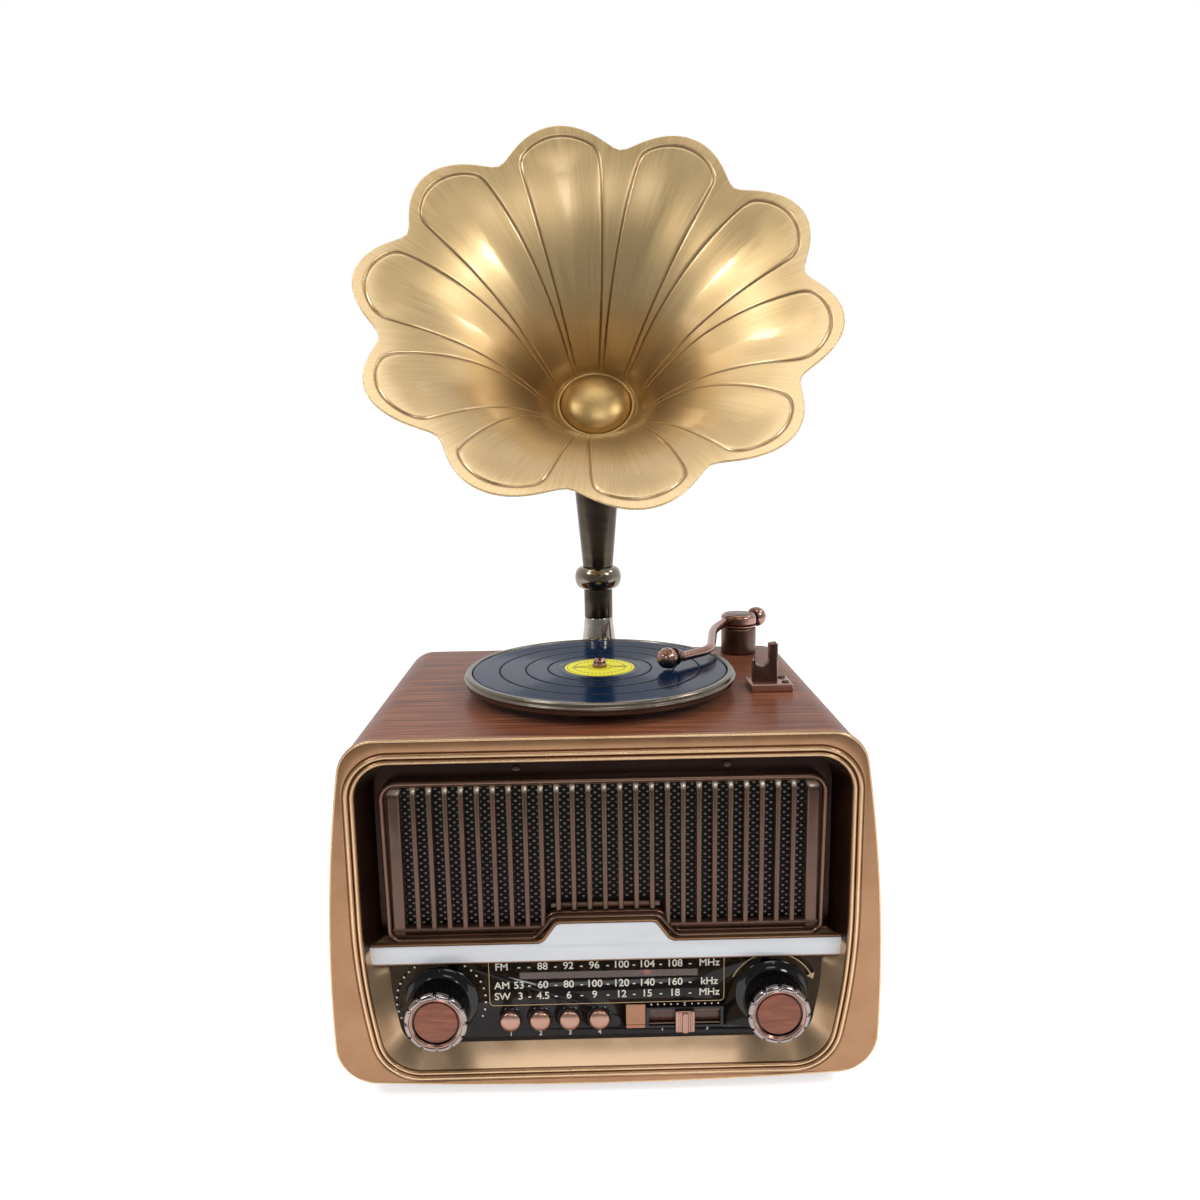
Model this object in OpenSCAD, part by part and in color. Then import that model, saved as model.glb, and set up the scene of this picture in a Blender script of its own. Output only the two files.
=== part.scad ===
// Tabletop radiogram: a radio and record player in one cabinet, with a petal horn on its deck.
// Origin: the centre of the footprint, on the surface it stands on. +Z is up and the front faces -Y.
// Depths named "..._d" are measured back from the front face of the bezel.

/* [Cabinet] */
// Width of the bezel at its widest
cabinet_w = 262; // [250:1:290]
// Height of the cabinet without its feet
cabinet_h = 177.5; // [172:0.5:190]
// Depth from the bezel's front face to the back edge
cabinet_d = 185; // [182:1:230]
// Thickness of the wooden wrap
wall = 5; // [4:0.1:5.4]
// Height of the feet under the cabinet
foot_h = 4; // [3:0.5:12]
// Radius of a foot
foot_r = 8; // [5:0.5:12]
// Radius of the two top corners
top_corner_r = 18; // [16:0.5:22]
// Radius of the two bottom corners
bottom_corner_r = 25; // [20:1:30]
// Radius of the bowed sides
side_r = 750; // [600:10:1500]
// Height of the widest place above the cabinet's bottom
widest_z = 46; // [36:1:60]
// Sag of the bottom edge between the corners
bottom_bow = 2.3; // [1.5:0.1:2.5]

/* [Bezel and recess] */
// Depth of the bezel
bezel_d = 8; // [6:0.5:9]
// How far the wooden wrap stays inside the bezel's outline
bezel_step = 0.8; // [0.5:0.1:1]
// Width of the bezel's side bands, measured at the cabinet's widest
side_band = 16; // [15.5:0.1:20]
// Height of the bezel's band above the opening
top_band = 11.9; // [11:0.1:14]
// Height of the bezel's band below the opening
bottom_band = 10.3; // [10:0.1:13]
// Radius of the opening's top corners
opening_top_r = 16; // [14:0.5:20]
// Radius of the opening's bottom corners
opening_bottom_r = 19; // [15:1:25]
// Radius of the opening's sides where they draw in
opening_side_r = 330; // [300:10:600]
// Depth of the recess at the grille
recess_d = 17; // [16.5:0.1:20]
// Thickness of the recess liner's plates
liner_t = 3; // [2.5:0.1:3.2]
// Thickness of the recess liner's side walls
liner_wall = 1.8; // [1.4:0.1:1.9]

/* [Grille] */
// Gap between the bezel opening's sides and the frame
grille_side = 8.65; // [8:0.05:12]
// Height of the grille frame
grille_h = 82; // [80:0.5:84]
// Gap between the bezel opening's top and the frame
grille_drop = 12.1; // [11:0.1:13]
// Corner radius of the grille frame
grille_r = 9; // [7:0.5:11]
// Width of the frame's bead
frame_w = 3.2; // [2:0.1:3.6]
// How far the frame stands out of the recess
frame_d = 6.2; // [5.6:0.1:6.6]
// Plain margin between the frame's outline and the first slot
field_margin = 10; // [7:0.1:16]
// Width of a louvre
louvre_w = 2.5; // [1.6:0.1:3.4]
// Width of a slot between two louvres
slot_w = 5; // [3:0.1:5.2]
// Thickness of the louvre panel
louvre_t = 4; // [2:0.1:4.6]
// Thickness of the mesh
mesh_t = 1.2; // [0.8:0.1:1.4]
// Radius of a hole in the mesh
mesh_r = 1.9; // [1:0.1:2.4]
// Number of mesh holes behind one slot
mesh_rows = 11; // [6:1:11]

/* [Control panel] */
// Gap between the bezel opening's sides and the panel
panel_side = 10.5; // [10:0.1:14]
// Height of the control panel
panel_h = 51; // [50:0.1:51.2]
// Thickness of the control panel
panel_t = 3; // [2.5:0.1:4]
// Gap between the bezel opening's bottom and the panel
panel_lift = 9; // [8:0.1:9.4]
// Radius of the panel's lower corners
panel_r = 12; // [6:1:16]
// Thickness of the trim bar
trim_t = 4; // [2:0.1:4.6]
// Gap between the bezel opening's sides and the trim bar
trim_side = 2; // [1.5:0.1:6]
// Height of the trim bar
trim_h = 8; // [7:0.1:8.2]
// Height of the trim bar's raised centre above the bar
hump_h = 11.6; // [9:0.1:11.8]
// Width of the raised centre at its top
hump_top_w = 47.5; // [40:0.5:50]
// Width of the raised centre at its foot
hump_foot_w = 61; // [56:0.5:62]

/* [Dial] */
// Length of the pointer slot
dial_slot_w = 86.5; // [80:0.5:87]
// Height of the pointer slot
dial_slot_h = 3.7; // [3:0.1:4.2]
// Place of the pointer at rest, sideways
pointer_x = 19.8; // [-30:0.1:30]
// Thickness of the pointer
pointer_w = 2.6; // [1.6:0.1:3]
// Radius of the cord's drum on the tuning shaft
drum_r = 16; // [12:0.5:17]

/* [Knobs, buttons and selector] */
// Distance from the panel's edge to a knob's centre
knob_edge = 24; // [22:0.1:26]
// Radius of a knob's ring
knob_r = 14.9; // [12:0.1:16]
// Radius of a knob's skirt
skirt_r = 18.1; // [16:0.1:18.4]
// Length of a knob
knob_l = 18.2; // [14:0.1:22]
// Radius of a knob's copper insert
insert_r = 10.6; // [7:0.1:11.5]
// Radius of a control shaft
shaft_r = 3; // [2.5:0.1:3.4]
// Running clearance round a shaft, on the radius
run_gap = 0.05; // [0.03:0.01:0.08]
// Radius of a push button
button_r = 5; // [3.5:0.1:5.6]
// Distance between two buttons
button_pitch = 14.45; // [12.5:0.05:15]
// Travel of a button
button_travel = 1.2; // [0.8:0.1:1.3]
// Width of the selector's slider
slider_w = 9.6; // [6:0.1:11]
// Travel of the slider each way
slider_travel = 11; // [6:0.5:11.5]

/* [Turntable] */
// Radius of the platter
platter_r = 72.8; // [66:0.1:73]
// Height of the platter's lower edge above the deck
platter_lift = 5; // [3.5:0.1:7]
// Height of the platter's rim
platter_h = 6.3; // [5.5:0.1:8]
// Distance from the neck's centre to the platter's centre
platter_ahead = 84.3; // [84:0.1:88]
// Radius of the record
record_r = 68.2; // [60:0.1:68.6]
// Thickness of the record
record_t = 1.8; // [1.2:0.1:2]
// Radius of the record's label
label_r = 18.8; // [12:0.1:24]
// Radius of the spindle
spindle_r = 3; // [2.5:0.1:3.6]
// Radius of the spindle's pulley
spindle_pulley_r = 24; // [16:0.5:28]
// Radius of the motor's pulley
motor_pulley_r = 5; // [3:0.25:7]
// Distance between the spindle and the motor's shaft
belt_centres = 58; // [50:0.5:70]
// Radius of the motor
motor_r = 17; // [12:0.5:20]

/* [Tonearm] */
// Distance from the pedestal's centre to the cabinet's side
arm_side = 43; // [38:0.1:46]
// Distance from the pedestal's centre to the cabinet's back edge
arm_back = 20; // [16:0.1:24]
// Radius of the pedestal
pedestal_r = 10.8; // [9:0.1:11.5]
// Height of the pedestal above the deck
pedestal_h = 16.7; // [15:0.1:19]
// Radius of the arm's cap
cap_r = 10.7; // [9.5:0.1:11.2]
// Height of the arm's cap
cap_h = 6.2; // [6:0.1:7]
// Radius of the arm's tube
tube_r = 2.3; // [1.6:0.1:2.5]
// Radius of the ball at the arm's rear
ball_r = 5; // [3.5:0.1:6]
// Radius of the sound box
head_r = 5.2; // [4:0.1:6]
// Length of the sound box
head_l = 12; // [9:0.1:13]

/* [Arm rest] */
// Radius of the cradle
cradle_r = 3.9; // [3:0.1:4.4]
// Thickness of the rest's plate
rest_t = 3.2; // [2:0.1:4]
// Height of the rest's base
rest_base_h = 4.3; // [3:0.1:6]

/* [Horn] */
// Sideways place of the horn's neck
neck_x = 1; // [-4:0.1:4]
// Distance from the neck's centre to the cabinet's back edge
neck_back = 13; // [12.8:0.1:16]
// How far the mouth's centre is ahead of the neck
mouth_ahead = 92; // [86:0.5:104]
// Height of the mouth's centre above the deck
mouth_z = 200; // [190:0.5:215]
// Upward tilt of the horn's axis, in degrees
horn_tilt = 34.3; // [30:0.1:38]
// Radius of the mouth at the valleys between petals
valley_r = 107.8; // [90:0.1:115]
// How far a petal reaches past the valleys
petal_reach = 14.2; // [6:0.1:20]
// Number of petals
petal_count = 10; // [6:1:16]
// Turn of the first petal round the axis, in degrees
petal_turn = 27.9; // [0:0.1:36]
// Radius of the throat
throat_r = 23; // [20:0.1:26]
// Depth of the bell from the valleys to the throat
bell_depth = 87.6; // [80:0.1:95]
// How far the bell's curve runs on past the mouth
bell_lip = 17; // [12:0.5:24]
// Thickness of the bell
bell_t = 1.2; // [0.8:0.1:2]
// Radius of the dome in the throat
dome_r = 19.6; // [12:0.1:20.5]
// Radius of the neck at its narrowest
neck_r = 8.9; // [8:0.1:9.4]
// Radius of the neck's bead
bead_r = 14.4; // [12:0.1:15]
// Radius of the neck's foot
neck_foot_r = 11.6; // [10.5:0.1:11.8]
// Radius of the spigot in the socket
spigot_r = 6; // [5:0.1:6.4]

/* [Hidden] */
$fn = 48;

// Small clearances that several fits share
foot_in = 26;
seat_gap = 0.3;
slip_gap = 0.1;
press_gap = 0.02;
cut = 1;

// Widths that follow the cabinet's
opening_w = cabinet_w - 2 * side_band;
grille_w = opening_w - 2 * grille_side;
panel_w = opening_w - 2 * panel_side;
trim_w = opening_w - 2 * trim_side;
knob_pitch = panel_w - 2 * knob_edge;
arm_x = cabinet_w / 2 - arm_side;

// Places that follow the cabinet's back edge
arm_d = cabinet_d - arm_back;
neck_d = cabinet_d - neck_back;
platter_d = neck_d - platter_ahead;
mouth_d = neck_d - mouth_ahead;

// Main heights and depths
base_z = foot_h;
top_z = base_z + cabinet_h;
deck_z = top_z - bezel_step;
deck_under_z = deck_z - wall;
floor_z = base_z + bezel_step + wall + bottom_bow;
mid_z = base_z + widest_z;
opening_top_z = top_z - top_band;
opening_bottom_z = base_z + bottom_band;
opening_side_z = base_z + 91;
grille_top_z = opening_top_z - grille_drop;
grille_bottom_z = grille_top_z - grille_h;
step_z = grille_bottom_z - 0.5;
plate_d = recess_d - 4;
panel_d = plate_d - panel_t;
trim_z = grille_bottom_z - trim_h + 0.2;
trim_d = panel_d - trim_t;
panel_z = opening_bottom_z + panel_lift;
knob_z = panel_z + 22.8;
dial_z = panel_z + 34.7;
button_z = panel_z + 11.8;
button_x = -47.2;
button_d = panel_d - 4;
slider_x = 37.9;
slider_z = panel_z + 11;
rear_t = 3;
rear_d = cabinet_d - rear_t;
neck_top_r = neck_r + 5.5;
front_y = -(panel_d - knob_l + max(cabinet_d, neck_d + neck_top_r)) / 2;
foot_y = [front_y + foot_in, front_y + cabinet_d - foot_in];
shell_inset = bezel_step + wall;

// Outlines in X and Z, drawn in the XY plane
function arc_points(cx, cz, r, from, to, n) =
    [for (i = [0 : n]) let (a = from + (to - from) * i / n) [cx + r * cos(a), cz + r * sin(a)]];
function mirrored(points) = concat(points,
    [for (i = [len(points) - 1 : -1 : 0]) [-points[i][0], points[i][1]]]);

// The cabinet's outline drawn in by i: bowed sides, tight top corners, wide lower ones and a sagging edge.
// A flat outline has a straight bottom edge at the level of the corners.
function cabinet_half(i, flat) =
    let (big_r = side_r - i)
    let (big_x = cabinet_w / 2 - side_r)
    let (rt = top_corner_r - i)
    let (zt = top_z - i - rt)
    let (xt = big_x + sqrt(pow(big_r - rt, 2) - pow(zt - mid_z, 2)))
    let (at = atan2(zt - mid_z, xt - big_x))
    let (rb = bottom_corner_r - i)
    let (zb = base_z + i + bottom_bow + rb)
    let (xb = big_x + sqrt(pow(big_r - rb, 2) - pow(zb - mid_z, 2)))
    let (ab = atan2(zb - mid_z, xb - big_x))
    let (sag = flat ? 0 : bottom_bow)
    concat(
        arc_points(xt, zt, rt, 90, at, 8),
        [for (k = [1 : 7]) let (a = at + (ab - at) * k / 8) [big_x + big_r * cos(a),
            mid_z + big_r * sin(a)]],
        arc_points(xb, zb, rb, ab, -90, 8),
        [for (k = [1 : 4]) let (x = xb * (1 - k / 4)) [x, zb - rb - sag * (1 - pow(x / xb, 2))]]);
module cabinet_outline(i, flat = false) polygon(mirrored(cabinet_half(i, flat)));

// The bezel opening's outline grown by o: upright sides that draw in towards the bottom
function opening_half(o) =
    let (w = opening_w / 2 + o)
    let (big_r = opening_side_r + o)
    let (rt = opening_top_r + o)
    let (rb = opening_bottom_r + o)
    let (zb = opening_bottom_z - o + rb)
    let (xb = w - big_r + sqrt(pow(big_r - rb, 2) - pow(zb - opening_side_z, 2)))
    let (ab = atan2(zb - opening_side_z, xb - w + big_r))
    concat(
        arc_points(w - rt, opening_top_z + o - rt, rt, 90, 0, 8),
        arc_points(w - big_r, opening_side_z, big_r, 0, ab, 5),
        arc_points(xb, zb, rb, ab, -90, 8));
module opening_outline(o) polygon(mirrored(opening_half(o)));

// Extrudes an outline back from depth d0 to depth d1
module slab(d0, d1) translate([0, front_y + d1, 0]) rotate([90, 0, 0]) linear_extrude(d1 - d0) children();
// Places round parts whose axis runs front to back, with their local +Z pointing back
module facing(x, d, z) translate([x, front_y + d, z]) rotate([-90, 0, 0]) children();
// Places parts that stand on the deck
module on_deck(x, d) translate([x, front_y + d, deck_z]) children();

// A tube swept along a path of points, from radius r0 to radius r1, with closed ends
function unit(v) = v / norm(v);
function path_dir(p, i) = unit(p[min(i + 1, len(p) - 1)] - p[max(i - 1, 0)]);
function ring_points(c, dir, side, r, n) =
    let (u = unit(cross(dir, side)))
    let (v = cross(u, dir))
    [for (k = [0 : n - 1]) c + r * (cos(360 * k / n) * v + sin(360 * k / n) * u)];
function wall_faces(rings, n) =
    [for (i = [0 : rings - 2]) for (k = [0 : n - 1]) for (t = [0, 1])
        let (a = i * n + k)
        let (b = i * n + (k + 1) % n)
        t == 0 ? [a, b + n, b] : [a, a + n, b + n]];
module sweep(path, radii, side, n) {
    points = [for (i = [0 : len(path) - 1]) each ring_points(path[i], path_dir(path, i), side, radii[i],
        n)];
    last = (len(path) - 1) * n;
    ends = [[for (k = [0 : n - 1]) k], [for (k = [n - 1 : -1 : 0]) last + k]];
    polyhedron(points, concat(wall_faces(len(path), n), ends), convexity = 6);
}
function blend(a, b, c, t) = (1 - t) * (1 - t) * a + 2 * t * (1 - t) * b + t * t * c;

// Corner blocks that the rear cover is screwed to
block = 12;
block_l = 20;
function rear_screw_spots() = [for (s = [-1, 1]) each [[s * (cabinet_w / 2 - 25), deck_under_z - 12],
    [s * (cabinet_w / 2 - 13), mid_z + 30], [s * (cabinet_w / 2 - 25), floor_z + 12]]];
screw_r = 1.4;
screw_head_r = 2.8;
foot_x = cabinet_w / 2 - 36;
foot_top_z = base_z + bezel_step + bottom_bow + 1;

module cabinet_shell() color("saddlebrown") difference() {
    union() {
        slab(bezel_d, cabinet_d) difference() {
            cabinet_outline(bezel_step);
            cabinet_outline(shell_inset, true);
        }
        slab(rear_d - block_l, rear_d) intersection() {
            cabinet_outline(shell_inset - cut, true);
            for (p = rear_screw_spots()) let (side = sign(p[0])) {
                translate([side > 0 ? p[0] - block : p[0] - 3 * block, p[1] - block / 2])
                    square([4 * block, block]);
                if (abs(p[1] - mid_z) > 40)
                    translate([p[0] - block / 2, p[1] > mid_z ? p[1] - block / 2 : p[1] - 2 * block])
                    square([block, 2.5 * block]);
            }
        }
    }
    for (p = rear_screw_spots()) facing(p[0], rear_d - 14, p[1])
        cylinder(r = screw_r + press_gap, h = 14 + cut);
    on_deck(0, platter_d) translate([0, 0, -wall - cut])
        cylinder(r = bearing_r + press_gap, h = wall + 2 * cut);
    on_deck(arm_x, arm_d) translate([0, 0, -wall - cut])
        cylinder(r = stud_r + press_gap, h = wall + 2 * cut);
    on_deck(neck_x, neck_d) translate([0, 0, -wall - cut])
        cylinder(r = socket_r + press_gap, h = wall + 2 * cut);
    for (x = [-foot_x, foot_x], y = foot_y)
        translate([x, y, 0]) cylinder(r = foot_r + slip_gap, h = foot_top_z + press_gap);
    for (p = rest_screw_spots()) on_deck(p[0], p[1]) translate([0, 0, -4])
        cylinder(r = rest_screw_r + press_gap, h = 4 + cut);
}

module front_bezel() color("peru") {
    slab(0, bezel_d) difference() {
        cabinet_outline(0);
        opening_outline(0);
    }
    for (b = bead_bands)
        slab(-bead_h, 0) difference() {
            opening_outline(b[1]);
            opening_outline(b[0]);
        }
}
// The two beads round the opening, as distances out from its edge
bead_bands = [[0.2, 2.4], [3.2, 6.4]];
bead_h = 0.8;

// The tub behind the bezel: side walls, the baffle plate at the grille and a nearer plate behind the panel
speaker_x = 55;
speaker_z = (grille_top_z + grille_bottom_z) / 2 + 1.5;
speaker_hole_r = 28;
baffle_screws = [[-41.3, opening_top_z - 8.8], [58.7, opening_top_z - 8.8]];
small_screw_r = 1;
module recess_liner() color("tan") difference() {
    union() {
        slab(bezel_d, recess_d + liner_t) difference() {
            opening_outline(liner_wall);
            opening_outline(0);
        }
        slab(bezel_d, bezel_d + 2) difference() {
            cabinet_outline(shell_inset + slip_gap, true);
            opening_outline(liner_wall / 2);
        }
        slab(recess_d, recess_d + liner_t) intersection() {
            opening_outline(liner_wall / 2);
            translate([-cabinet_w, step_z]) square([2 * cabinet_w, cabinet_h]);
        }
        slab(plate_d, plate_d + liner_t) intersection() {
            opening_outline(liner_wall / 2);
            translate([-cabinet_w, 0]) square([2 * cabinet_w, step_z]);
        }
        slab(plate_d, recess_d + liner_t) intersection() {
            opening_outline(liner_wall / 2);
            translate([-cabinet_w, step_z - liner_t]) square([2 * cabinet_w, liner_t]);
        }
    }
    for (s = [-1, 1]) {
        facing(s * speaker_x, recess_d - cut, speaker_z)
            cylinder(r = speaker_hole_r, h = liner_t + 2 * cut);
        facing(s * knob_pitch / 2, plate_d - cut, knob_z)
            cylinder(r = bush_r + press_gap, h = liner_t + 2 * cut);
    }
    for (p = baffle_screws) facing(p[0], recess_d - cut, p[1])
        cylinder(r = small_screw_r + press_gap, h = liner_t + 2 * cut);
    for (i = [0 : 3]) facing(button_x + i * button_pitch, plate_d - cut, button_z)
        cylinder(r = stem_r + seat_gap, h = liner_t + 2 * cut);
    slab(plate_d - cut, plate_d + liner_t + cut) {
        translate([1 - dial_slot_w / 2 - 1.5, dial_z - dial_slot_h / 2 - 0.4])
            square([dial_slot_w + 3, dial_slot_h + 0.8]);
        selector_slot();
    }
}

// The frame's outline drawn in by i, with the notch over the trim bar's raised centre
notch_gap = 1.6;
module rounded(w, h, r) {
    translate([-w / 2 + r, 0]) square([w - 2 * r, h]);
    translate([-w / 2, r]) square([w, h - 2 * r]);
    for (x = [-w / 2 + r, w / 2 - r], z = [r, h - r]) translate([x, z]) circle(r = r);
}
module hump_outline(o) polygon([
    [-hump_foot_w / 2 - o * 1.2, trim_z + trim_h - cut], [hump_foot_w / 2 + o * 1.2, trim_z + trim_h - cut],
    [hump_top_w / 2 + o * 0.8, trim_z + trim_h + hump_h + o], [-hump_top_w / 2 - o * 0.8,
        trim_z + trim_h + hump_h + o]]);
module grille_outline(i) difference() {
    translate([0, grille_bottom_z + i]) rounded(grille_w - 2 * i, grille_h - 2 * i, grille_r - i);
    hump_outline(notch_gap + i);
}
module grille_frame() color("rosybrown") slab(recess_d - frame_d, recess_d) difference() {
    grille_outline(0);
    grille_outline(frame_w);
}

slot_pitch = louvre_w + slot_w;
louvre_count = floor((grille_w - 2 * field_margin + louvre_w) / slot_pitch) - 1;
field_w = (louvre_count + 1) * slot_pitch - louvre_w;
field_top_z = grille_top_z - 4;
field_bottom_z = grille_bottom_z + 7.5;
field_notch_z = trim_z + trim_h + hump_h + notch_gap + frame_w + 1.5;
function slot_x(k) = -field_w / 2 + slot_w / 2 + k * slot_pitch;
function slot_foot(k) = abs(slot_x(k)) < hump_foot_w / 2 + notch_gap + frame_w + slot_w / 2
    ? field_notch_z : field_bottom_z;
module louvre_panel() color("saddlebrown")
    slab(recess_d - mesh_t - louvre_t, recess_d - mesh_t) difference() {
        grille_outline(frame_w + slip_gap);
        for (k = [0 : louvre_count])
            translate([slot_x(k) - slot_w / 2, slot_foot(k)]) square([slot_w, field_top_z - slot_foot(k)]);
    }
module grille_mesh() color("black") slab(recess_d - mesh_t, recess_d) difference() {
    grille_outline(frame_w + slip_gap);
    for (k = [0 : louvre_count], j = [0 : mesh_rows - 1])
        let (z = field_top_z - 3.5 - (j + (k % 2) / 2) * (field_top_z - field_bottom_z - 5) / mesh_rows)
            if (z > slot_foot(k) + mesh_r) translate([slot_x(k), z]) circle(r = mesh_r, $fn = 16);
}

module trim_bar() color("gainsboro") slab(trim_d, panel_d) {
    translate([-trim_w / 2, trim_z]) square([trim_w, trim_h]);
    hump_outline(0);
}

// Holes in the panel, shared with what runs in them
module selector_slot() translate([slider_x - slider_travel - 2.5, slider_z - 2.5])
    square([2 * slider_travel + 5, 5]);
window_w = 2 * slider_travel + slider_w + 3.4;
window_h = 8.4;
lens_edge = 0.5;
lens_t = 1;
module control_panel() color([0.1, 0.09, 0.09]) difference() {
    slab(panel_d, plate_d) difference() {
        union() {
            translate([0, panel_z]) rounded(panel_w, panel_h, panel_r);
            translate([-panel_w / 2, panel_z + panel_h / 2]) square([panel_w, panel_h / 2]);
        }
        translate([1 - dial_slot_w / 2, dial_z - dial_slot_h / 2]) square([dial_slot_w, dial_slot_h]);
        translate([slider_x - window_w / 2, slider_z - window_h / 2]) square([window_w, window_h]);
    }
    slab(panel_d - cut, panel_d + lens_t + slip_gap)
        translate([1 - dial_slot_w / 2 - lens_edge, dial_z - dial_slot_h / 2 - lens_edge])
            square([dial_slot_w + 2 * lens_edge, dial_slot_h + 2 * lens_edge]);
    for (s = [-1, 1]) facing(s * knob_pitch / 2, panel_d - cut, knob_z)
        cylinder(r = bush_r + press_gap, h = panel_t + 2 * cut);
    for (i = [0 : 3]) facing(button_x + i * button_pitch, panel_d - cut, button_z)
        cylinder(r = button_r + seat_gap, h = panel_t + 2 * cut);
}
module mode_window() color("burlywood") slab(panel_d - 0.8, panel_d)
    translate([slider_x - window_w / 2 - 11.4, slider_z - 4.9]) square([9.6, 12.3]);
module dial_lens() color([0.35, 0.22, 0.2]) slab(panel_d + slip_gap, panel_d + slip_gap + lens_t)
    translate([1 - dial_slot_w / 2 - lens_edge + slip_gap, dial_z - dial_slot_h / 2 - lens_edge + slip_gap])
        square([dial_slot_w + 2 * (lens_edge - slip_gap), dial_slot_h + 2 * (lens_edge - slip_gap)]);

// The pointer runs on a rail behind the plate, pulled by a cord from the tuning shaft's drum
rail_r = 1.5;
rail_d = plate_d + 7;
rail_x0 = -52;
rail_x1 = 53;
cord_r = 0.35;
loop_r = drum_r + cord_r + slip_gap;
guide_r = 4;
guide_z = knob_z + loop_r - guide_r;
idler_z = guide_z - 2 * guide_r;
guide_x = -60;
idler_x = 50;
carriage_w = 10;
module dial_pointer() color("tomato") difference() {
    union() {
        translate([pointer_x - carriage_w / 2, front_y + rail_d - 2.7, dial_z - 2.7])
            cube([carriage_w, 5.4, guide_z + guide_r - cord_r - slip_gap - dial_z + 2.7]);
        translate([pointer_x - pointer_w / 2, front_y + panel_d + lens_t + 0.5,
            dial_z - dial_slot_h / 2 + 0.3])
            cube([pointer_w, rail_d - panel_d - lens_t - 2.2, dial_slot_h - 0.6]);
    }
    translate([pointer_x - carriage_w, front_y + rail_d, dial_z]) rotate([0, 90, 0])
        cylinder(r = rail_r + run_gap, h = 2 * carriage_w);
}
module pointer_rail() color("silver") {
    translate([rail_x0, front_y + rail_d, dial_z]) rotate([0, 90, 0])
        cylinder(r = rail_r, h = rail_x1 - rail_x0);
    for (x = [rail_x0, rail_x1 - 3]) translate([x, front_y + plate_d + liner_t, dial_z - 2.5])
        cube([3, rail_d - plate_d - liner_t + 2.5, 5]);
    facing(guide_x, plate_d + liner_t, guide_z) cylinder(r = guide_r - cord_r - slip_gap, h = 6);
    facing(idler_x, plate_d + liner_t, idler_z) cylinder(r = guide_r - cord_r - slip_gap, h = 6);
}
// The cord's loop: round the drum, along to the far guide, back over the idler and down to the drum
cord_n = 8;
idler_away = norm([knob_pitch / 2 - idler_x, knob_z - idler_z]);
idler_turn = atan2(knob_z - idler_z, knob_pitch / 2 - idler_x) + 90 - asin((loop_r + guide_r) / idler_away);
cord_flat = concat(arc_points(knob_pitch / 2, knob_z, loop_r, idler_turn - 180, 90, 36),
    arc_points(guide_x, guide_z, guide_r, 90, 270, 8), arc_points(idler_x, idler_z, guide_r, 90,
        idler_turn, 3));
cord_last = cord_flat[0] + 0.4 * unit(cord_flat[len(cord_flat) - 1] - cord_flat[0]);
cord_path = [for (p = concat(cord_flat, [cord_last])) [p[0], front_y + rail_d, p[1]]];
module dial_cord() color("khaki") sweep(cord_path, [for (p = cord_path) cord_r], [0, 1, 0], cord_n);

// Knobs: a fluted body with a skirt, a bright ring round its end and a copper insert
knob_back_d = panel_d - seat_gap;
knob_front_d = panel_d - knob_l;
ring_l = 4;
module knob_body() rotate([180, 0, 0]) difference() {
    rotate_extrude() polygon([[0, 0], [skirt_r, 0], [skirt_r, 1.2], [skirt_r - 1.4, 2.4],
        [knob_r - 0.9, 3.2],
        [knob_r - 1.9, knob_l - ring_l - seat_gap], [0, knob_l - ring_l - seat_gap]]);
    translate([0, 0, -cut]) cylinder(r = shaft_r + press_gap, h = knob_l - ring_l - 3);
}
module knob_ring() rotate([180, 0, 0]) translate([0, 0, knob_l - ring_l - seat_gap]) difference() {
    cylinder(r = knob_r, h = ring_l);
    translate([0, 0, ring_l - 2]) cylinder(r = insert_r + slip_gap, h = 2 + cut);
}
module knob_insert() rotate([180, 0, 0]) translate([0, 0, knob_l - seat_gap - 2])
    cylinder(r = insert_r, h = 1.2);
bush_r = 3.8;
module volume_knob() color([0.05, 0.05, 0.06]) facing(-knob_pitch / 2, knob_back_d, knob_z) knob_body();
module volume_knob_ring() color("silver") facing(-knob_pitch / 2, knob_back_d, knob_z) knob_ring();
module volume_knob_insert() color("sienna") facing(-knob_pitch / 2, knob_back_d, knob_z) knob_insert();
module tuning_knob() color([0.05, 0.05, 0.06]) facing(knob_pitch / 2, knob_back_d, knob_z) knob_body();
module tuning_knob_ring() color("silver") facing(knob_pitch / 2, knob_back_d, knob_z) knob_ring();
module tuning_knob_insert() color("sienna") facing(knob_pitch / 2, knob_back_d, knob_z) knob_insert();

shaft_front_d = knob_front_d + ring_l + 5;
control_d = plate_d + liner_t;
control_r = 8.5;
module volume_shaft() color("silver") facing(-knob_pitch / 2, shaft_front_d, knob_z)
    cylinder(r = shaft_r, h = control_d + 7 - shaft_front_d);
module volume_control() color("dimgray") facing(-knob_pitch / 2, control_d, knob_z) difference() {
    union() {
        cylinder(r = control_r, h = 9);
        translate([0, 0, -liner_t - panel_t + 0.5]) cylinder(r = bush_r, h = liner_t + panel_t);
    }
    translate([0, 0, -liner_t - panel_t - cut])
        cylinder(r = shaft_r + run_gap, h = liner_t + panel_t + cut + 7.5);
}
module tuning_shaft() color("silver") difference() {
    union() {
        facing(knob_pitch / 2, shaft_front_d, knob_z)
            cylinder(r = shaft_r, h = control_d + 18 - shaft_front_d);
        facing(knob_pitch / 2, rail_d - 2.5, knob_z) cylinder(r = drum_r + 1.5, h = 5);
    }
    facing(knob_pitch / 2, rail_d - 0.7, knob_z) difference() {
        cylinder(r = drum_r + 3, h = 1.4);
        translate([0, 0, -cut]) cylinder(r = drum_r, h = 1.4 + 2 * cut);
    }
}
capacitor_d = control_d + 10;
capacitor_w = 42;
capacitor_l = 16;
capacitor_post_in = 2.5;
capacitor_post_r = 2.4;
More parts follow.
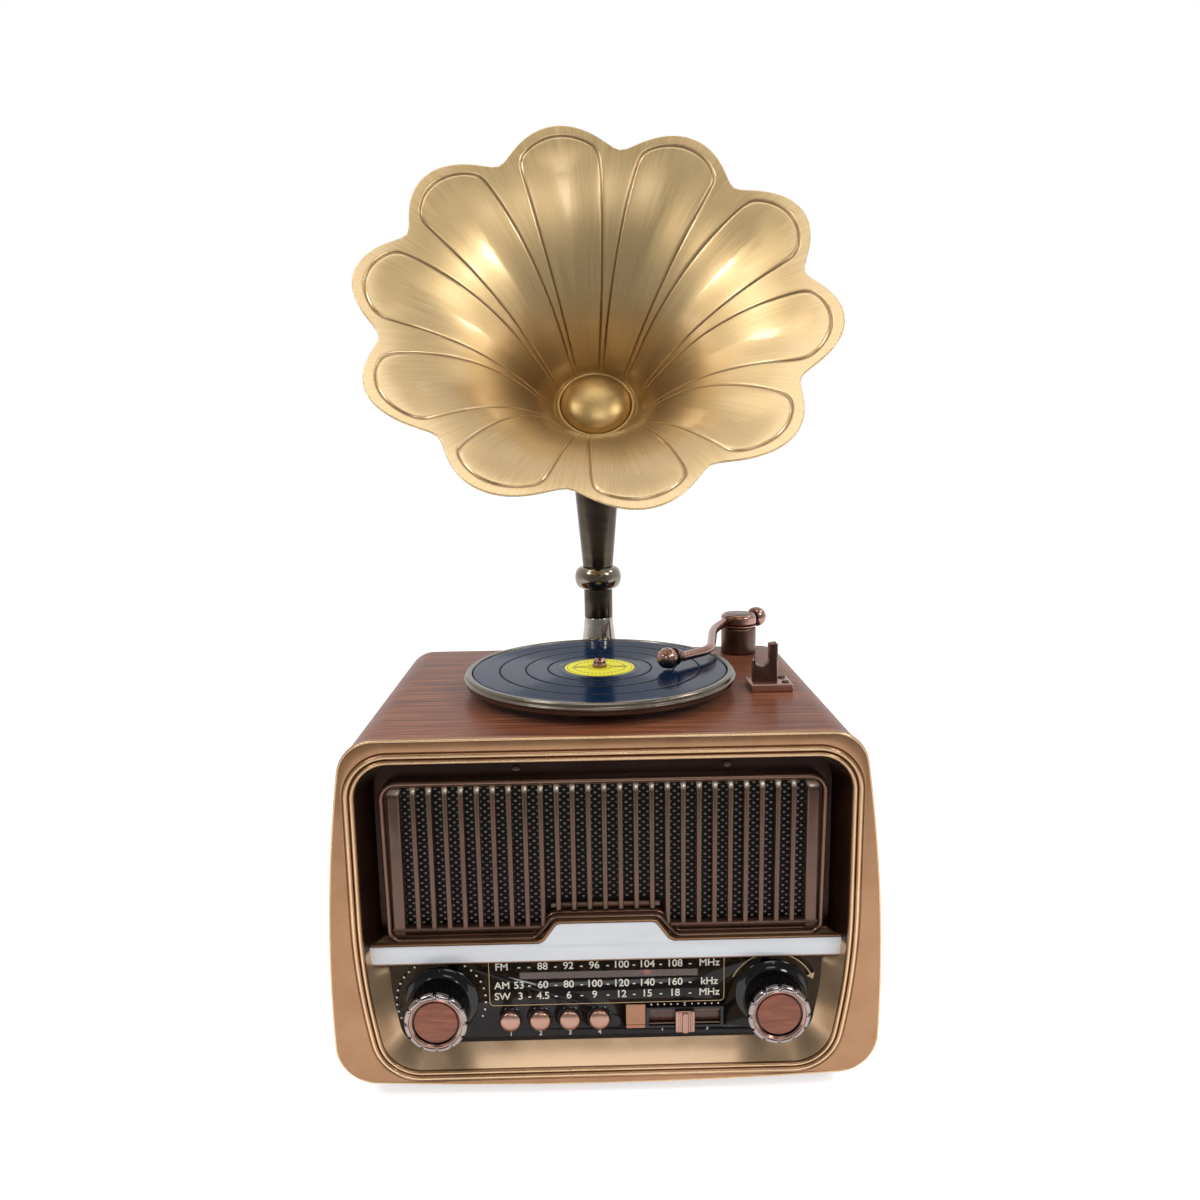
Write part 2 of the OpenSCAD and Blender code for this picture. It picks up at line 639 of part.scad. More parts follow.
module tuning_capacitor() color("slategray") difference() {
    union() {
        facing(knob_pitch / 2, capacitor_d, knob_z)
            translate([-capacitor_w / 2, -capacitor_w / 2, 0])
                cube([capacitor_w, capacitor_w, capacitor_l]);
        for (p = [[-1, -1], [1, -1], [1, 1]])
            facing(knob_pitch / 2 + p[0] * (capacitor_w / 2 - capacitor_post_in), control_d,
                knob_z + p[1] * (capacitor_w / 2 - capacitor_post_in))
                cylinder(r = capacitor_post_r, h = capacitor_d - control_d + cut);
        facing(knob_pitch / 2, plate_d - panel_t + 0.5, knob_z)
            cylinder(r = bush_r, h = panel_t + liner_t - 0.5);
    }
    facing(knob_pitch / 2, plate_d - panel_t - cut, knob_z)
        cylinder(r = shaft_r + run_gap, h = control_d + 19 - plate_d + panel_t + cut);
}

stem_r = 2;
board_d = control_d + 8.5;
switch_t = 4;
module button(i) color("darksalmon") facing(button_x + i * button_pitch, 0, button_z) {
    translate([0, 0, button_d]) rotate_extrude() polygon(concat([[0, 0]],
        [for (a = [20 : 20 : 80]) [button_r * sin(a), 1.6 * (1 - cos(a))]], [[button_r, 1.6],
        [button_r, plate_d - button_d - button_travel - seat_gap], [0,
            plate_d - button_d - button_travel - seat_gap]]));
    translate([0, 0, plate_d - 3]) cylinder(r = stem_r,
        h = board_d - switch_t - button_travel - seat_gap - plate_d + 3);
}
module button_1() button(0);
module button_2() button(1);
module button_3() button(2);
module button_4() button(3);

slider_h = 11.4;
module selector_slider() color("rosybrown") {
    translate([slider_x - slider_w / 2, front_y + panel_d - 4.2, slider_z - slider_h / 2 - 1.2])
        cube([slider_w, 3.3, slider_h]);
    translate([slider_x - 2, front_y + panel_d - 1, slider_z - 2]) cube([4, board_d - 4 - panel_d, 4]);
}
switch_w = 2 * slider_travel + 16;
module selector_switch() color("saddlebrown") difference() {
    union() {
        slab(board_d - 7.5, board_d) translate([slider_x - switch_w / 2, slider_z - 6])
            square([switch_w, 12]);
        slab(panel_d - 0.5, panel_d) translate([slider_x - window_w / 2 - 1.4,
            slider_z - window_h / 2 - 1.2])
            square([window_w + 2.8, window_h + 2.4]);
    }
    slab(panel_d - cut, panel_d + cut) translate([slider_x - window_w / 2, slider_z - window_h / 2])
        square([window_w, window_h]);
    slab(board_d - 8, board_d - 2) translate([slider_x - slider_travel - 3, slider_z - 3])
        square([2 * slider_travel + 6, 6]);
}
board_t = 1.6;
board_x0 = -100;
board_x1 = 57;
board_h = 27;
board_post_in = 4;
switch_side = 6;
module control_board() color("darkgreen") {
    difference() {
        slab(board_d, board_d + board_t) translate([board_x0, panel_z])
            square([board_x1 - board_x0, board_h]);
        facing(-knob_pitch / 2, board_d - cut, knob_z) cylinder(r = control_r + 1, h = board_t + 2 * cut);
    }
    for (i = [0 : 3]) slab(board_d - switch_t, board_d)
        translate([button_x + i * button_pitch - switch_side / 2, button_z - switch_side / 2])
            square(switch_side);
    for (x = [board_x0 + board_post_in, board_x1 - board_post_in]) facing(x, control_d, panel_z + 3)
        cylinder(r = 2, h = board_d - control_d);
}

basket_r = 33;
basket_l = 19;
rim_t = 1.6;
magnet_r = 22;
magnet_l = 12;
coil_r = 12;
cone_r = 9;
cone_l = 10.5;
speaker_d = recess_d + liner_t;
module speakers() color("dimgray") for (s = [-1, 1]) facing(s * speaker_x, speaker_d, speaker_z) {
    rotate_extrude() polygon([[speaker_hole_r, 0], [basket_r, 0], [basket_r, rim_t],
        [basket_r - 2 * rim_t, 1.5 * rim_t],
        [magnet_r - 3, basket_l - 2], [magnet_r - 3, basket_l], [magnet_r, basket_l], [magnet_r,
            basket_l + magnet_l],
        [0, basket_l + magnet_l], [0, basket_l + 3], [coil_r, basket_l + 3], [coil_r, basket_l - 0.5],
        [magnet_r - 3 - rim_t, basket_l - 2], [speaker_hole_r, 2 * rim_t]]);
    rotate_extrude() polygon([[speaker_hole_r - 0.2, 0.6], [speaker_hole_r - 2.4, -0.6],
        [speaker_hole_r - 4.6, 0.8],
        [cone_r, cone_l], [cone_r - 2.6, cone_l - 2.3], [cone_r - 5.8, cone_l - 3.5], [0, cone_l - 3.9],
        [0, cone_l - 3.1], [cone_r - 6, cone_l - 2.7], [cone_r - 3, cone_l - 1.5], [cone_r - 0.2,
            cone_l + 1.1],
        [cone_r + 0.4, cone_l + 1.1], [speaker_hole_r - 4.4, 1.8], [speaker_hole_r - 2.4, 0.4],
        [speaker_hole_r - 0.2, 1.6]]);
}
main_z = floor_z + 5;
main_w = 150;
main_d0 = 62;
main_l = 88;
post_in = 5;
parts_x = -50;
parts_d = main_d0 + 20;
can_r = 9;
can_h = 26;
can_pitch = 26;
small_can_r = 6.5;
small_can_h = 20;
chip_w = 22;
chip_t = 3;
transformer_w = 34;
transformer_l = 30;
transformer_h = 28;
sink_d = main_d0 + 54;
sink_l = 20;
sink_h = 22;
fin_pitch = 7;
fin_t = 2;
fin_n = 6;
module main_board() color("darkgreen") {
    translate([-main_w / 2, front_y + main_d0, main_z]) cube([main_w, main_l, board_t]);
    for (x = [-main_w / 2 + post_in, main_w / 2 - post_in], y = [post_in, main_l - post_in])
        translate([x, front_y + main_d0 + y, floor_z]) cylinder(r = 3, h = main_z - floor_z);
    translate([parts_x, front_y + parts_d, main_z + board_t]) {
        cylinder(r = can_r, h = can_h);
        translate([can_pitch, 0, 0]) cylinder(r = small_can_r, h = small_can_h);
        translate([can_pitch + 2 * small_can_r, -chip_w / 2, 0]) cube([chip_w, chip_w, chip_t]);
        translate([can_pitch + 3 * small_can_r + chip_w, 0, 0])
            cube([transformer_w, transformer_l, transformer_h]);
    }
    translate([parts_x - 1.5 * fin_pitch, front_y + sink_d, main_z + board_t]) {
        cube([fin_n * fin_pitch - 1, sink_l, chip_t]);
        for (k = [0 : fin_n - 1]) translate([fin_t + fin_pitch * k, 0, 0]) cube([fin_t, sink_l, sink_h]);
    }
}
// The aerial's rod hangs in two clips under the deck, with a winding on it
aerial_z = deck_under_z - 12;
aerial_d = arm_d - 16;
aerial_x = -84;
aerial_r = 5;
aerial_l = 124;
clip_w = 8;
clip_in = 6;
winding_x = aerial_x + 32;
winding_r = 6.6;
winding_l = 30;
module ferrite_aerial() color([0.25, 0.24, 0.24]) {
    translate([aerial_x, front_y + aerial_d, aerial_z]) rotate([0, 90, 0])
        cylinder(r = aerial_r, h = aerial_l);
    for (x = [aerial_x + clip_in, aerial_x + aerial_l - 2 * clip_w]) difference() {
        translate([x, front_y + aerial_d - clip_w, aerial_z - aerial_r - 2])
            cube([clip_w, 2 * clip_w, deck_under_z - aerial_z + aerial_r + 2]);
        translate([x - cut, front_y + aerial_d, aerial_z]) rotate([0, 90, 0])
            cylinder(r = aerial_r + press_gap, h = clip_w + 2 * cut);
    }
    translate([winding_x, front_y + aerial_d, aerial_z]) rotate([0, 90, 0]) difference() {
        cylinder(r = winding_r, h = winding_l);
        translate([0, 0, -cut]) cylinder(r = aerial_r + press_gap, h = winding_l + 2 * cut);
    }
}

inlet_x = -70;
jack_x = -46;
socket_z = 40;
inlet_r = 6;
jack_r = 4;
jack_bore_r = 1.8;
inlet_l = 10;
inlet_side = 16;
jack_l = 12;
jack_side = 12;
module power_inlet() color("black") facing(inlet_x, rear_d - inlet_l, socket_z) difference() {
    union() {
        cylinder(r = inlet_r, h = inlet_l + rear_t);
        translate([-inlet_side / 2, -inlet_side / 2, 0]) cube([inlet_side, inlet_side, inlet_l]);
    }
    translate([0, 0, 4]) difference() {
        cylinder(r = 3.2, h = inlet_l);
        cylinder(r = 1, h = inlet_l - 2);
    }
}
module audio_jack() color("black") facing(jack_x, rear_d - jack_l, socket_z) difference() {
    union() {
        cylinder(r = jack_r, h = jack_l + rear_t);
        translate([-jack_side / 2, -jack_side / 2, 0]) cube([jack_side, jack_side, jack_l]);
    }
    translate([0, 0, 1]) cylinder(r = jack_bore_r, h = jack_l + rear_t + cut);
}

vent_w = 60;
vent_h = 3;
module rear_cover() color("saddlebrown") difference() {
    slab(rear_d, cabinet_d) difference() {
        cabinet_outline(shell_inset + slip_gap, true);
        for (s = [-1, 1], k = [0 : 7])
            translate([s * speaker_x - vent_w / 2, mid_z + 24 + k * 2.4 * vent_h]) square([vent_w, vent_h]);
    }
    for (p = rear_screw_spots()) {
        facing(p[0], rear_d - cut, p[1]) cylinder(r = screw_r + slip_gap, h = rear_t + 2 * cut);
        facing(p[0], cabinet_d - 1.5, p[1]) cylinder(r = screw_head_r + slip_gap, h = 2);
    }
    facing(inlet_x, rear_d - cut, socket_z) cylinder(r = inlet_r + slip_gap, h = rear_t + 2 * cut);
    facing(jack_x, rear_d - cut, socket_z) cylinder(r = jack_r + slip_gap, h = rear_t + 2 * cut);
}
// Screws of the rear cover, the baffle and the arm rest
rest_screw_r = 1.2;
function rest_screw_spots() = [[rest_x + rest_w - 3.2, rest_d + 4], [rest_x + rest_w - 3.2,
    rest_d + rest_l - 3.2]];
module case_screws() color("silver") {
    for (p = rear_screw_spots()) facing(p[0], rear_d - 13, p[1]) {
        cylinder(r = screw_r, h = 13 + rear_t - 1.4);
        translate([0, 0, 12 + rear_t - 1.4 + cut]) cylinder(r = screw_head_r, h = 1.4);
    }
    for (p = baffle_screws) facing(p[0], recess_d - 1.2, p[1]) {
        cylinder(r = 2, h = 1.2);
        cylinder(r = small_screw_r, h = 1.2 + liner_t);
    }
    for (p = rest_screw_spots()) on_deck(p[0], p[1]) {
        translate([0, 0, rest_base_h]) cylinder(r = 2.1, h = 1.1);
        translate([0, 0, -3]) cylinder(r = rest_screw_r, h = 3 + rest_base_h);
    }
}
module feet() color([0.1, 0.1, 0.1])
    for (x = [-foot_x, foot_x], y = foot_y)
        translate([x, y, 0]) cylinder(r = foot_r, h = foot_top_z);

// Turntable: heights above the deck
bearing_r = 6;
bearing_top = 1.8;
hub_r = 10;
platter_top = platter_lift + platter_h;
record_z = platter_top - record_t - 0.3;
record_top = record_z + record_t;
spindle_pulley_z = deck_under_z - 31 - deck_z;
pulley_h = 5;
module platter() color([0.55, 0.52, 0.44]) on_deck(0, platter_d) difference() {
    rotate_extrude($fn = 96) polygon([[0, bearing_top + 0.5], [hub_r, bearing_top + 0.5],
        [hub_r, platter_lift + 1.2],
        [platter_r - 6, platter_lift + 1.2], [platter_r - 5, platter_lift], [platter_r - 0.6, platter_lift],
        [platter_r, platter_lift + 0.6], [platter_r, platter_lift + 3.4], [platter_r - 1.4,
            platter_lift + 4],
        [platter_r - 1.4, platter_top - 1], [platter_r - 2.2, platter_top], [record_r + 0.9, platter_top],
        [record_r + 0.5, record_z - press_gap], [0, record_z - press_gap]]);
    cylinder(r = spindle_r + press_gap, h = platter_top + cut);
}
module record() color([0.08, 0.1, 0.14]) on_deck(0, platter_d) translate([0, 0, record_z]) difference() {
    cylinder(r = record_r, h = record_t, $fn = 96);
    translate([0, 0, -cut]) cylinder(r = spindle_r + slip_gap, h = record_t + 2 * cut);
}
label_t = 0.2;
module record_label() color([0.9, 0.88, 0.28]) on_deck(0, platter_d)
    translate([0, 0, record_z + record_t]) difference() {
    cylinder(r = label_r, h = label_t);
    translate([0, 0, -cut]) cylinder(r = spindle_r + slip_gap, h = label_t + 2 * cut);
}
spindle_top = record_z + record_t + 2.4;
module spindle() color("silver") on_deck(0, platter_d) {
    translate([0, 0, spindle_pulley_z - 3]) cylinder(r = spindle_r, h = spindle_top - spindle_pulley_z + 3);
    translate([0, 0, spindle_pulley_z]) rotate_extrude() polygon([[0, 0], [spindle_pulley_r + 1.2, 0],
        [spindle_pulley_r + 1.2, 0.8], [spindle_pulley_r, 0.8], [spindle_pulley_r, pulley_h - 0.8],
        [spindle_pulley_r + 1.2, pulley_h - 0.8], [spindle_pulley_r + 1.2, pulley_h], [0, pulley_h]]);
}
cap_top = 5;
spindle_cap_r = 4;
module spindle_cap() color("rosybrown") on_deck(0, platter_d)
    translate([0, 0, record_z + record_t + label_t]) difference() {
    rotate_extrude() polygon(concat([[0, 0], [spindle_cap_r, 0], [spindle_cap_r, 2.2]],
        [for (a = [0 : 15 : 75]) [spindle_cap_r * 0.86 * cos(a), 2.6 + (cap_top - 2.6) * sin(a)]], [[0,
            cap_top]]));
    translate([0, 0, -cut]) cylinder(r = spindle_r + press_gap, h = 2.2 + cut);
}
module main_bearing() color("goldenrod") on_deck(0, platter_d) difference() {
    union() {
        translate([0, 0, -wall - 14]) cylinder(r = bearing_r, h = wall + 14);
        cylinder(r = bearing_r + 3.4, h = bearing_top);
        translate([0, 0, -wall - 3]) cylinder(r = bearing_r + 3.4, h = 3);
    }
    translate([0, 0, -wall - 14 - cut]) cylinder(r = spindle_r + run_gap,
        h = wall + 14 + bearing_top + 2 * cut);
}
motor_top_z = deck_under_z - deck_z;
motor_l = 22;
motor_shaft_r = 1;
module drive_motor() color("gray") on_deck(-belt_centres, platter_d) difference() {
    union() {
        translate([0, 0, motor_top_z - 2]) cylinder(r = motor_r + 4, h = 2);
        translate([0, 0, motor_top_z - motor_l]) cylinder(r = motor_r, h = motor_l - 1);
    }
    translate([0, 0, motor_top_z - motor_l - cut]) cylinder(r = motor_shaft_r + run_gap, h = 13);
}
module motor_pulley() color("silver") on_deck(-belt_centres, platter_d) {
    translate([0, 0, spindle_pulley_z]) cylinder(r = motor_shaft_r,
        h = motor_top_z - motor_l + 11 - spindle_pulley_z);
    translate([0, 0, spindle_pulley_z]) rotate_extrude() polygon([[0, 0], [motor_pulley_r + 1.2, 0],
        [motor_pulley_r + 1.2, 0.8], [motor_pulley_r, 0.8], [motor_pulley_r, pulley_h - 0.8],
        [motor_pulley_r + 1.2, pulley_h - 0.8], [motor_pulley_r + 1.2, pulley_h], [0, pulley_h]]);
}
belt_t = 0.8;
module belt_outline(o) hull() {
    circle(r = spindle_pulley_r + seat_gap + o);
    translate([-belt_centres, 0]) circle(r = motor_pulley_r + seat_gap + o);
}
module drive_belt() color("black") on_deck(0, platter_d) translate([0, 0, spindle_pulley_z + 1.2])
    linear_extrude(pulley_h - 2.4) difference() {
        belt_outline(belt_t);
        belt_outline(0);
    }

// Tonearm: heights above the deck, and the direction from the pedestal to the sound box in plan
stud_r = 5;
swivel_r = 3;
pin_r = 1;
disc_z = pedestal_h + seat_gap;
disc_t = 0.7;
cap_z = disc_z + disc_t + 1.2;
cap_under = 1.5;
arm_z = cap_z + cap_under;
post_r = 4.2;
head_dx = -51.5;
head_dy = -85;
lift_turn = atan2(head_dy, head_dx) + 90;
rear_turn = atan2(6.6, 11);
pedestal_edge = 1.2;
module tonearm_pedestal() color([0.3, 0.22, 0.18]) on_deck(arm_x, arm_d) difference() {
    union() {
        rotate_extrude() polygon([[0, 0], [pedestal_r, 0], [pedestal_r, pedestal_h - pedestal_edge],
            [pedestal_r - pedestal_edge, pedestal_h], [0, pedestal_h]]);
        translate([0, 0, -wall - 8]) cylinder(r = stud_r, h = wall + 8);
        translate([0, 0, -wall - 4]) cylinder(r = stud_r + 4, h = 4);
    }
    translate([0, 0, pedestal_h - 22]) cylinder(r = swivel_r + run_gap, h = 22 + cut);
}
module tonearm_swivel() color("silver") on_deck(arm_x, arm_d) difference() {
    union() {
        translate([0, 0, pedestal_h - 21]) cylinder(r = swivel_r, h = 21 + seat_gap);
        translate([0, 0, disc_z]) cylinder(r = pedestal_r - 0.6, h = disc_t);
        translate([0, 0, disc_z]) cylinder(r = post_r, h = arm_z + 1.9 - disc_z);
    }
    translate([0, 0, arm_z]) rotate([0, 90, lift_turn])
        cylinder(r = pin_r + run_gap, h = 20, center = true);
}
// The cap carries the arm and its cross pin, and tilts on the swivel's post
module tonearm_cap() color([0.6, 0.42, 0.34]) on_deck(arm_x, arm_d) {
    difference() {
        rotate_extrude() polygon([[0, cap_z], [cap_r - 0.6, cap_z], [cap_r, cap_z + 0.6],
            [cap_r, cap_z + cap_h - 2.4],
            [cap_r - 0.7, cap_z + cap_h - 1], [cap_r - 2.4, cap_z + cap_h - 0.2], [cap_r - 4,
                cap_z + cap_h],
            [0, cap_z + cap_h]]);
        translate([0, 0, cap_z - cut]) cylinder(r = post_r + 0.9, h = arm_z + 2.8 - cap_z + cut);
        translate([0, 0, arm_z]) rotate([0, 90, rear_turn])
            cylinder(r = tube_r + press_gap, h = 2 * cap_r, center = true);
    }
    translate([0, 0, arm_z]) rotate([0, 90, lift_turn])
        cylinder(r = pin_r, h = 2 * (post_r + 2.6), center = true);
}
// The arm's tube, as points from the pedestal's centre: an S in plan that sinks a little towards the record
socket_in = cap_r - 4.5;
arm_sink = 4.4;
rear_dir = [cos(rear_turn), sin(rear_turn), 0];
arm_path = [-socket_in * rear_dir, -11 * rear_dir, [-14, -9.4, 0], [-20.1, -19.5, -1.6], [-24.9, -55,
    -arm_sink],
    [-34, -69.4, -arm_sink], [-45, -79, -arm_sink]];
function arm_curve() = concat([arm_path[0]],
    [for (i = [1 : len(arm_path) - 2]) for (t = [0 : 0.2 : 1])
        blend((arm_path[i - 1] + arm_path[i]) / 2, arm_path[i], (arm_path[i] + arm_path[i + 1]) / 2, t)],
    [arm_path[len(arm_path) - 1]]);
module tonearm_tube() color([0.6, 0.42, 0.34]) on_deck(arm_x, arm_d) translate([0, 0, arm_z])
    sweep(arm_curve(), [for (p = arm_curve()) tube_r], [0, 0, 1], 16);
ball_x = cap_r + ball_r - 1.8;
ball_flat = 1.6;
stub_in = 2.1;
module tonearm_counterweight() color([0.6, 0.42, 0.34]) on_deck(arm_x, arm_d) translate([0, 0, arm_z])
    rotate([0, 0, rear_turn]) {
        // Flush with the cap's underside, so that the stub clears the swivel's disc when the arm is lifted
        difference() {
            rotate([0, 90, 0]) translate([0, 0, cap_r - stub_in])
                cylinder(r = tube_r, h = ball_x - cap_r + stub_in - 1);
            translate([0, -tube_r, -tube_r - cut])
                cube([cap_r + seat_gap, 2 * tube_r, tube_r + cut - cap_under]);
        }
        translate([ball_x, 0, 0]) difference() {
            sphere(r = ball_r);
            translate([-2 * ball_r - ball_flat, -ball_r, -ball_r]) cube(2 * ball_r);
        }
    }
head_turn = atan2(-9.6, -11);
head_z = record_top + head_r + 1;
stylus_gap = 0.6;
module sound_box() color([0.5, 0.38, 0.32]) on_deck(arm_x, arm_d) translate([-45, -79, 0])
    rotate([0, 0, head_turn]) {
    translate([0, 0, head_z]) rotate([0, 90, 0]) rotate_extrude() polygon([[0, 0.2], [3.4, 0.2], [3.4, 1.4],
        [head_r - 0.4, 1.4], [head_r, 2], [head_r, head_l - 6], [head_r - 0.5, head_l - 5.4],
            [head_r - 0.4, head_l - 4],
        [head_r - 1.8, head_l - 1.4], [2, head_l], [0, head_l]]);
    translate([2.4, -3, record_top + 0.9]) cube([6, 6, 4]);
    translate([5.4, 0, record_top + stylus_gap]) cylinder(r = 0.5, h = 2);
}

// Arm rest: a plate with a cradle on a screwed base
rest_x = arm_x - 8.4;
rest_w = 21.7;
rest_d = arm_d - 95;
rest_l = 18;
plate_w = 13.6;
cradle_x = rest_x + 5.3;
cradle_z = arm_z - arm_sink - tube_r - seat_gap;
module arm_rest() color([0.5, 0.4, 0.34]) difference() {
    union() {
        on_deck(rest_x, rest_d) cube([rest_w, rest_l, rest_base_h]);
        on_deck(rest_x, rest_d + 5) cube([plate_w, rest_t, cradle_z + 3.2]);
        on_deck(cradle_x + cradle_r, rest_d + 5)
            cube([rest_x + plate_w - cradle_x - cradle_r, rest_t, cradle_z + 12.6]);
        on_deck(cradle_x + cradle_r + 1, rest_d + 5) cube([2.6, 7, cradle_z - 4]);
    }
    on_deck(cradle_x, rest_d + 5 - cut) translate([0, 0, cradle_z + cradle_r]) rotate([-90, 0, 0])
        cylinder(r = cradle_r, h = rest_t + 2 * cut);
    for (p = rest_screw_spots()) on_deck(p[0], p[1]) translate([0, 0, -cut])
        cylinder(r = rest_screw_r + press_gap, h = rest_base_h + 2 * cut);
}

// Horn: in its own frame the mouth's plane is at Z = 0 and +Z points out of the mouth
bell_rise = bell_depth + bell_lip;
bell_flare = (valley_r - throat_r) / ln(bell_rise / bell_lip);
function bell_z(r) = bell_lip - bell_rise * exp(-(r - throat_r) / bell_flare);
function bell_slope(r) = bell_rise / bell_flare * exp(-(r - throat_r) / bell_flare);
function bell_back(r) = [r, bell_z(r)] + bell_t / sqrt(1 + pow(bell_slope(r), 2)) * [bell_slope(r), -1];
rim_r = valley_r + petal_reach + 1;
bell_steps = 14;
function bell_r(k) = throat_r + (rim_r - throat_r) * pow(k / bell_steps, 1.5);
module horn_frame() translate([neck_x, front_y + mouth_d, deck_z + mouth_z])
    rotate([90 - horn_tilt, 0, 0]) children();
module petals() polygon([for (a = [0 : 3 : 357])
    (valley_r + petal_reach * pow(abs(cos(petal_count / 2 * (a - petal_turn))), 1.1)) * [cos(a), sin(a)]]);
module horn_bell() color([0.78, 0.64, 0.4]) horn_frame() intersection() {
    rotate_extrude($fn = 96) polygon(concat(
        [for (k = [0 : bell_steps]) [bell_r(k), bell_z(bell_r(k))]],
        [for (k = [bell_steps : -1 : 0]) bell_back(bell_r(k))]));
    translate([0, 0, -bell_depth - 20]) linear_extrude(bell_depth + 60) petals();
}
throat_z = -bell_depth;
ring_t = 3;
module throat_ring() color([0.85, 0.75, 0.6]) horn_frame() translate([0, 0, throat_z + 1]) difference() {
    cylinder(r = throat_r - slip_gap, h = ring_t);
    translate([0, 0, -cut]) cylinder(r = dome_r - 2, h = ring_t + 2 * cut);
    translate([0, 0, 1]) cylinder(r = dome_r + press_gap, h = ring_t + cut);
}
dome_h = 9;
module throat_dome() color([0.8, 0.66, 0.4]) horn_frame() translate([0, 0, throat_z + 2]) rotate_extrude()
    polygon(concat([[0, 0], [dome_r, 0], [dome_r, 0.6]],
        [for (a = [10 : 10 : 80]) [dome_r * cos(a), 0.6 + dome_h * sin(a)]], [[0, 0.6 + dome_h]]));

// Elbow: from the bell's throat, square to its axis, round to the upright neck
elbow_t = 1.4;
axis_y = cos(horn_tilt);
axis_z = sin(horn_tilt);
throat_c = [neck_x, front_y + mouth_d + bell_depth * axis_y, deck_z + mouth_z - bell_depth * axis_z];
bend_r = (front_y + neck_d - throat_c[1]) / (1 - axis_z);
elbow_z = throat_c[2] - bend_r * axis_y;
elbow_r0 = throat_r + bell_t;
elbow_n = 12;
function elbow_point(a) = [neck_x, throat_c[1] + bend_r * (sin(a) - axis_z),
    throat_c[2] - bend_r * (axis_y - cos(a))];
function elbow_path(over) = concat([throat_c - over * [0, axis_y, -axis_z]],
    [for (k = [0 : elbow_n]) elbow_point(horn_tilt + (90 - horn_tilt) * k / elbow_n)],
    [[neck_x, front_y + neck_d, elbow_z - over]]);
function elbow_radii(t) = concat([elbow_r0 - t],
    [for (k = [0 : elbow_n]) elbow_r0 - t + (neck_top_r - elbow_r0) * sin(90 * k / elbow_n)],
        [neck_top_r - t]);
// The elbow starts just behind the lowest point of the bell's wall
elbow_seat = bell_z(throat_r) - bell_back(throat_r)[1] + seat_gap;
module horn_elbow() color([0.28, 0.24, 0.19]) difference() {
    sweep(elbow_path(0.01), elbow_radii(0), [1, 0, 0], 32);
    sweep(elbow_path(cut), elbow_radii(elbow_t), [1, 0, 0], 32);
    horn_frame() translate([0, 0, throat_z - elbow_seat]) cylinder(r = elbow_r0 + 1, h = elbow_seat + 1);
}

// Neck: heights above the deck
bead_z0 = 41;
bead_z1 = 54.8;
socket_r = spigot_r + 2;
socket_l = 22;
bead_mid = (bead_z0 + bead_z1) / 2;
bead_half = (bead_z1 - bead_z0) / 2;
neck_foot_z = 1 + seat_gap;
module horn_neck() color([0.28, 0.24, 0.19]) on_deck(neck_x, neck_d) difference() {
    union() {
        rotate_extrude() polygon(concat([[0, neck_foot_z],
            [neck_foot_r, neck_foot_z], [neck_foot_r - 0.6, 3.4],
            [neck_r + 1.3, 9], [neck_r + 0.5, 17], [neck_r + 0.15, 25], [neck_r, 33], [neck_r, bead_z0]],
            [for (a = [-90 : 15 : 90])
                [bead_r - bead_half * 0.8 + bead_half * 0.8 * cos(a), bead_mid + bead_half * sin(a)]],
            [[neck_r + 0.45, bead_z1], [neck_top_r, elbow_z - deck_z], [0, elbow_z - deck_z]]));
        translate([0, 0, -socket_l + 2]) cylinder(r = spigot_r, h = socket_l);
    }
    translate([0, 0, -socket_l]) cylinder(r = spigot_r - 1.4, h = socket_l + 20);
    translate([0, 0, 15]) cylinder(r = neck_r - 2, h = bead_z1 - 10);
    translate([0, 0, bead_z1]) cylinder(r1 = neck_r - 2, r2 = neck_top_r - elbow_t,
        h = elbow_z - deck_z - bead_z1);
    translate([0, 0, elbow_z - deck_z - 0.01]) cylinder(r = neck_top_r - elbow_t, h = cut);
}
module neck_socket() color("dimgray") on_deck(neck_x, neck_d) difference() {
    union() {
        translate([0, 0, -socket_l]) cylinder(r = socket_r, h = socket_l);
        cylinder(r = neck_foot_r, h = 1);
        translate([0, 0, -wall - 3]) cylinder(r = socket_r + 1.4, h = 3);
    }
    translate([0, 0, -socket_l + 1.6]) cylinder(r = spigot_r + run_gap, h = socket_l + cut);
}

cabinet_shell();
front_bezel();
recess_liner();
grille_frame();
louvre_panel();
grille_mesh();
trim_bar();
control_panel();
mode_window();
dial_lens();
dial_pointer();
pointer_rail();
dial_cord();
volume_knob();
volume_knob_ring();
volume_knob_insert();
volume_shaft();
volume_control();
tuning_knob();
tuning_knob_ring();
tuning_knob_insert();
tuning_shaft();
tuning_capacitor();
button_1();
button_2();
button_3();
button_4();
selector_slider();
selector_switch();
control_board();
speakers();
main_board();
ferrite_aerial();
power_inlet();
audio_jack();
rear_cover();
case_screws();
feet();
platter();
record();
record_label();
spindle();
spindle_cap();
main_bearing();
drive_motor();
motor_pulley();
drive_belt();
tonearm_pedestal();
tonearm_swivel();
tonearm_cap();
tonearm_tube();
tonearm_counterweight();
sound_box();
arm_rest();
horn_bell();
throat_ring();
throat_dome();
horn_elbow();
horn_neck();
neck_socket();
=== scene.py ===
"""Dresses the CAD frame of a tabletop radiogram: pieces, finishes, floor, light and camera."""
import math

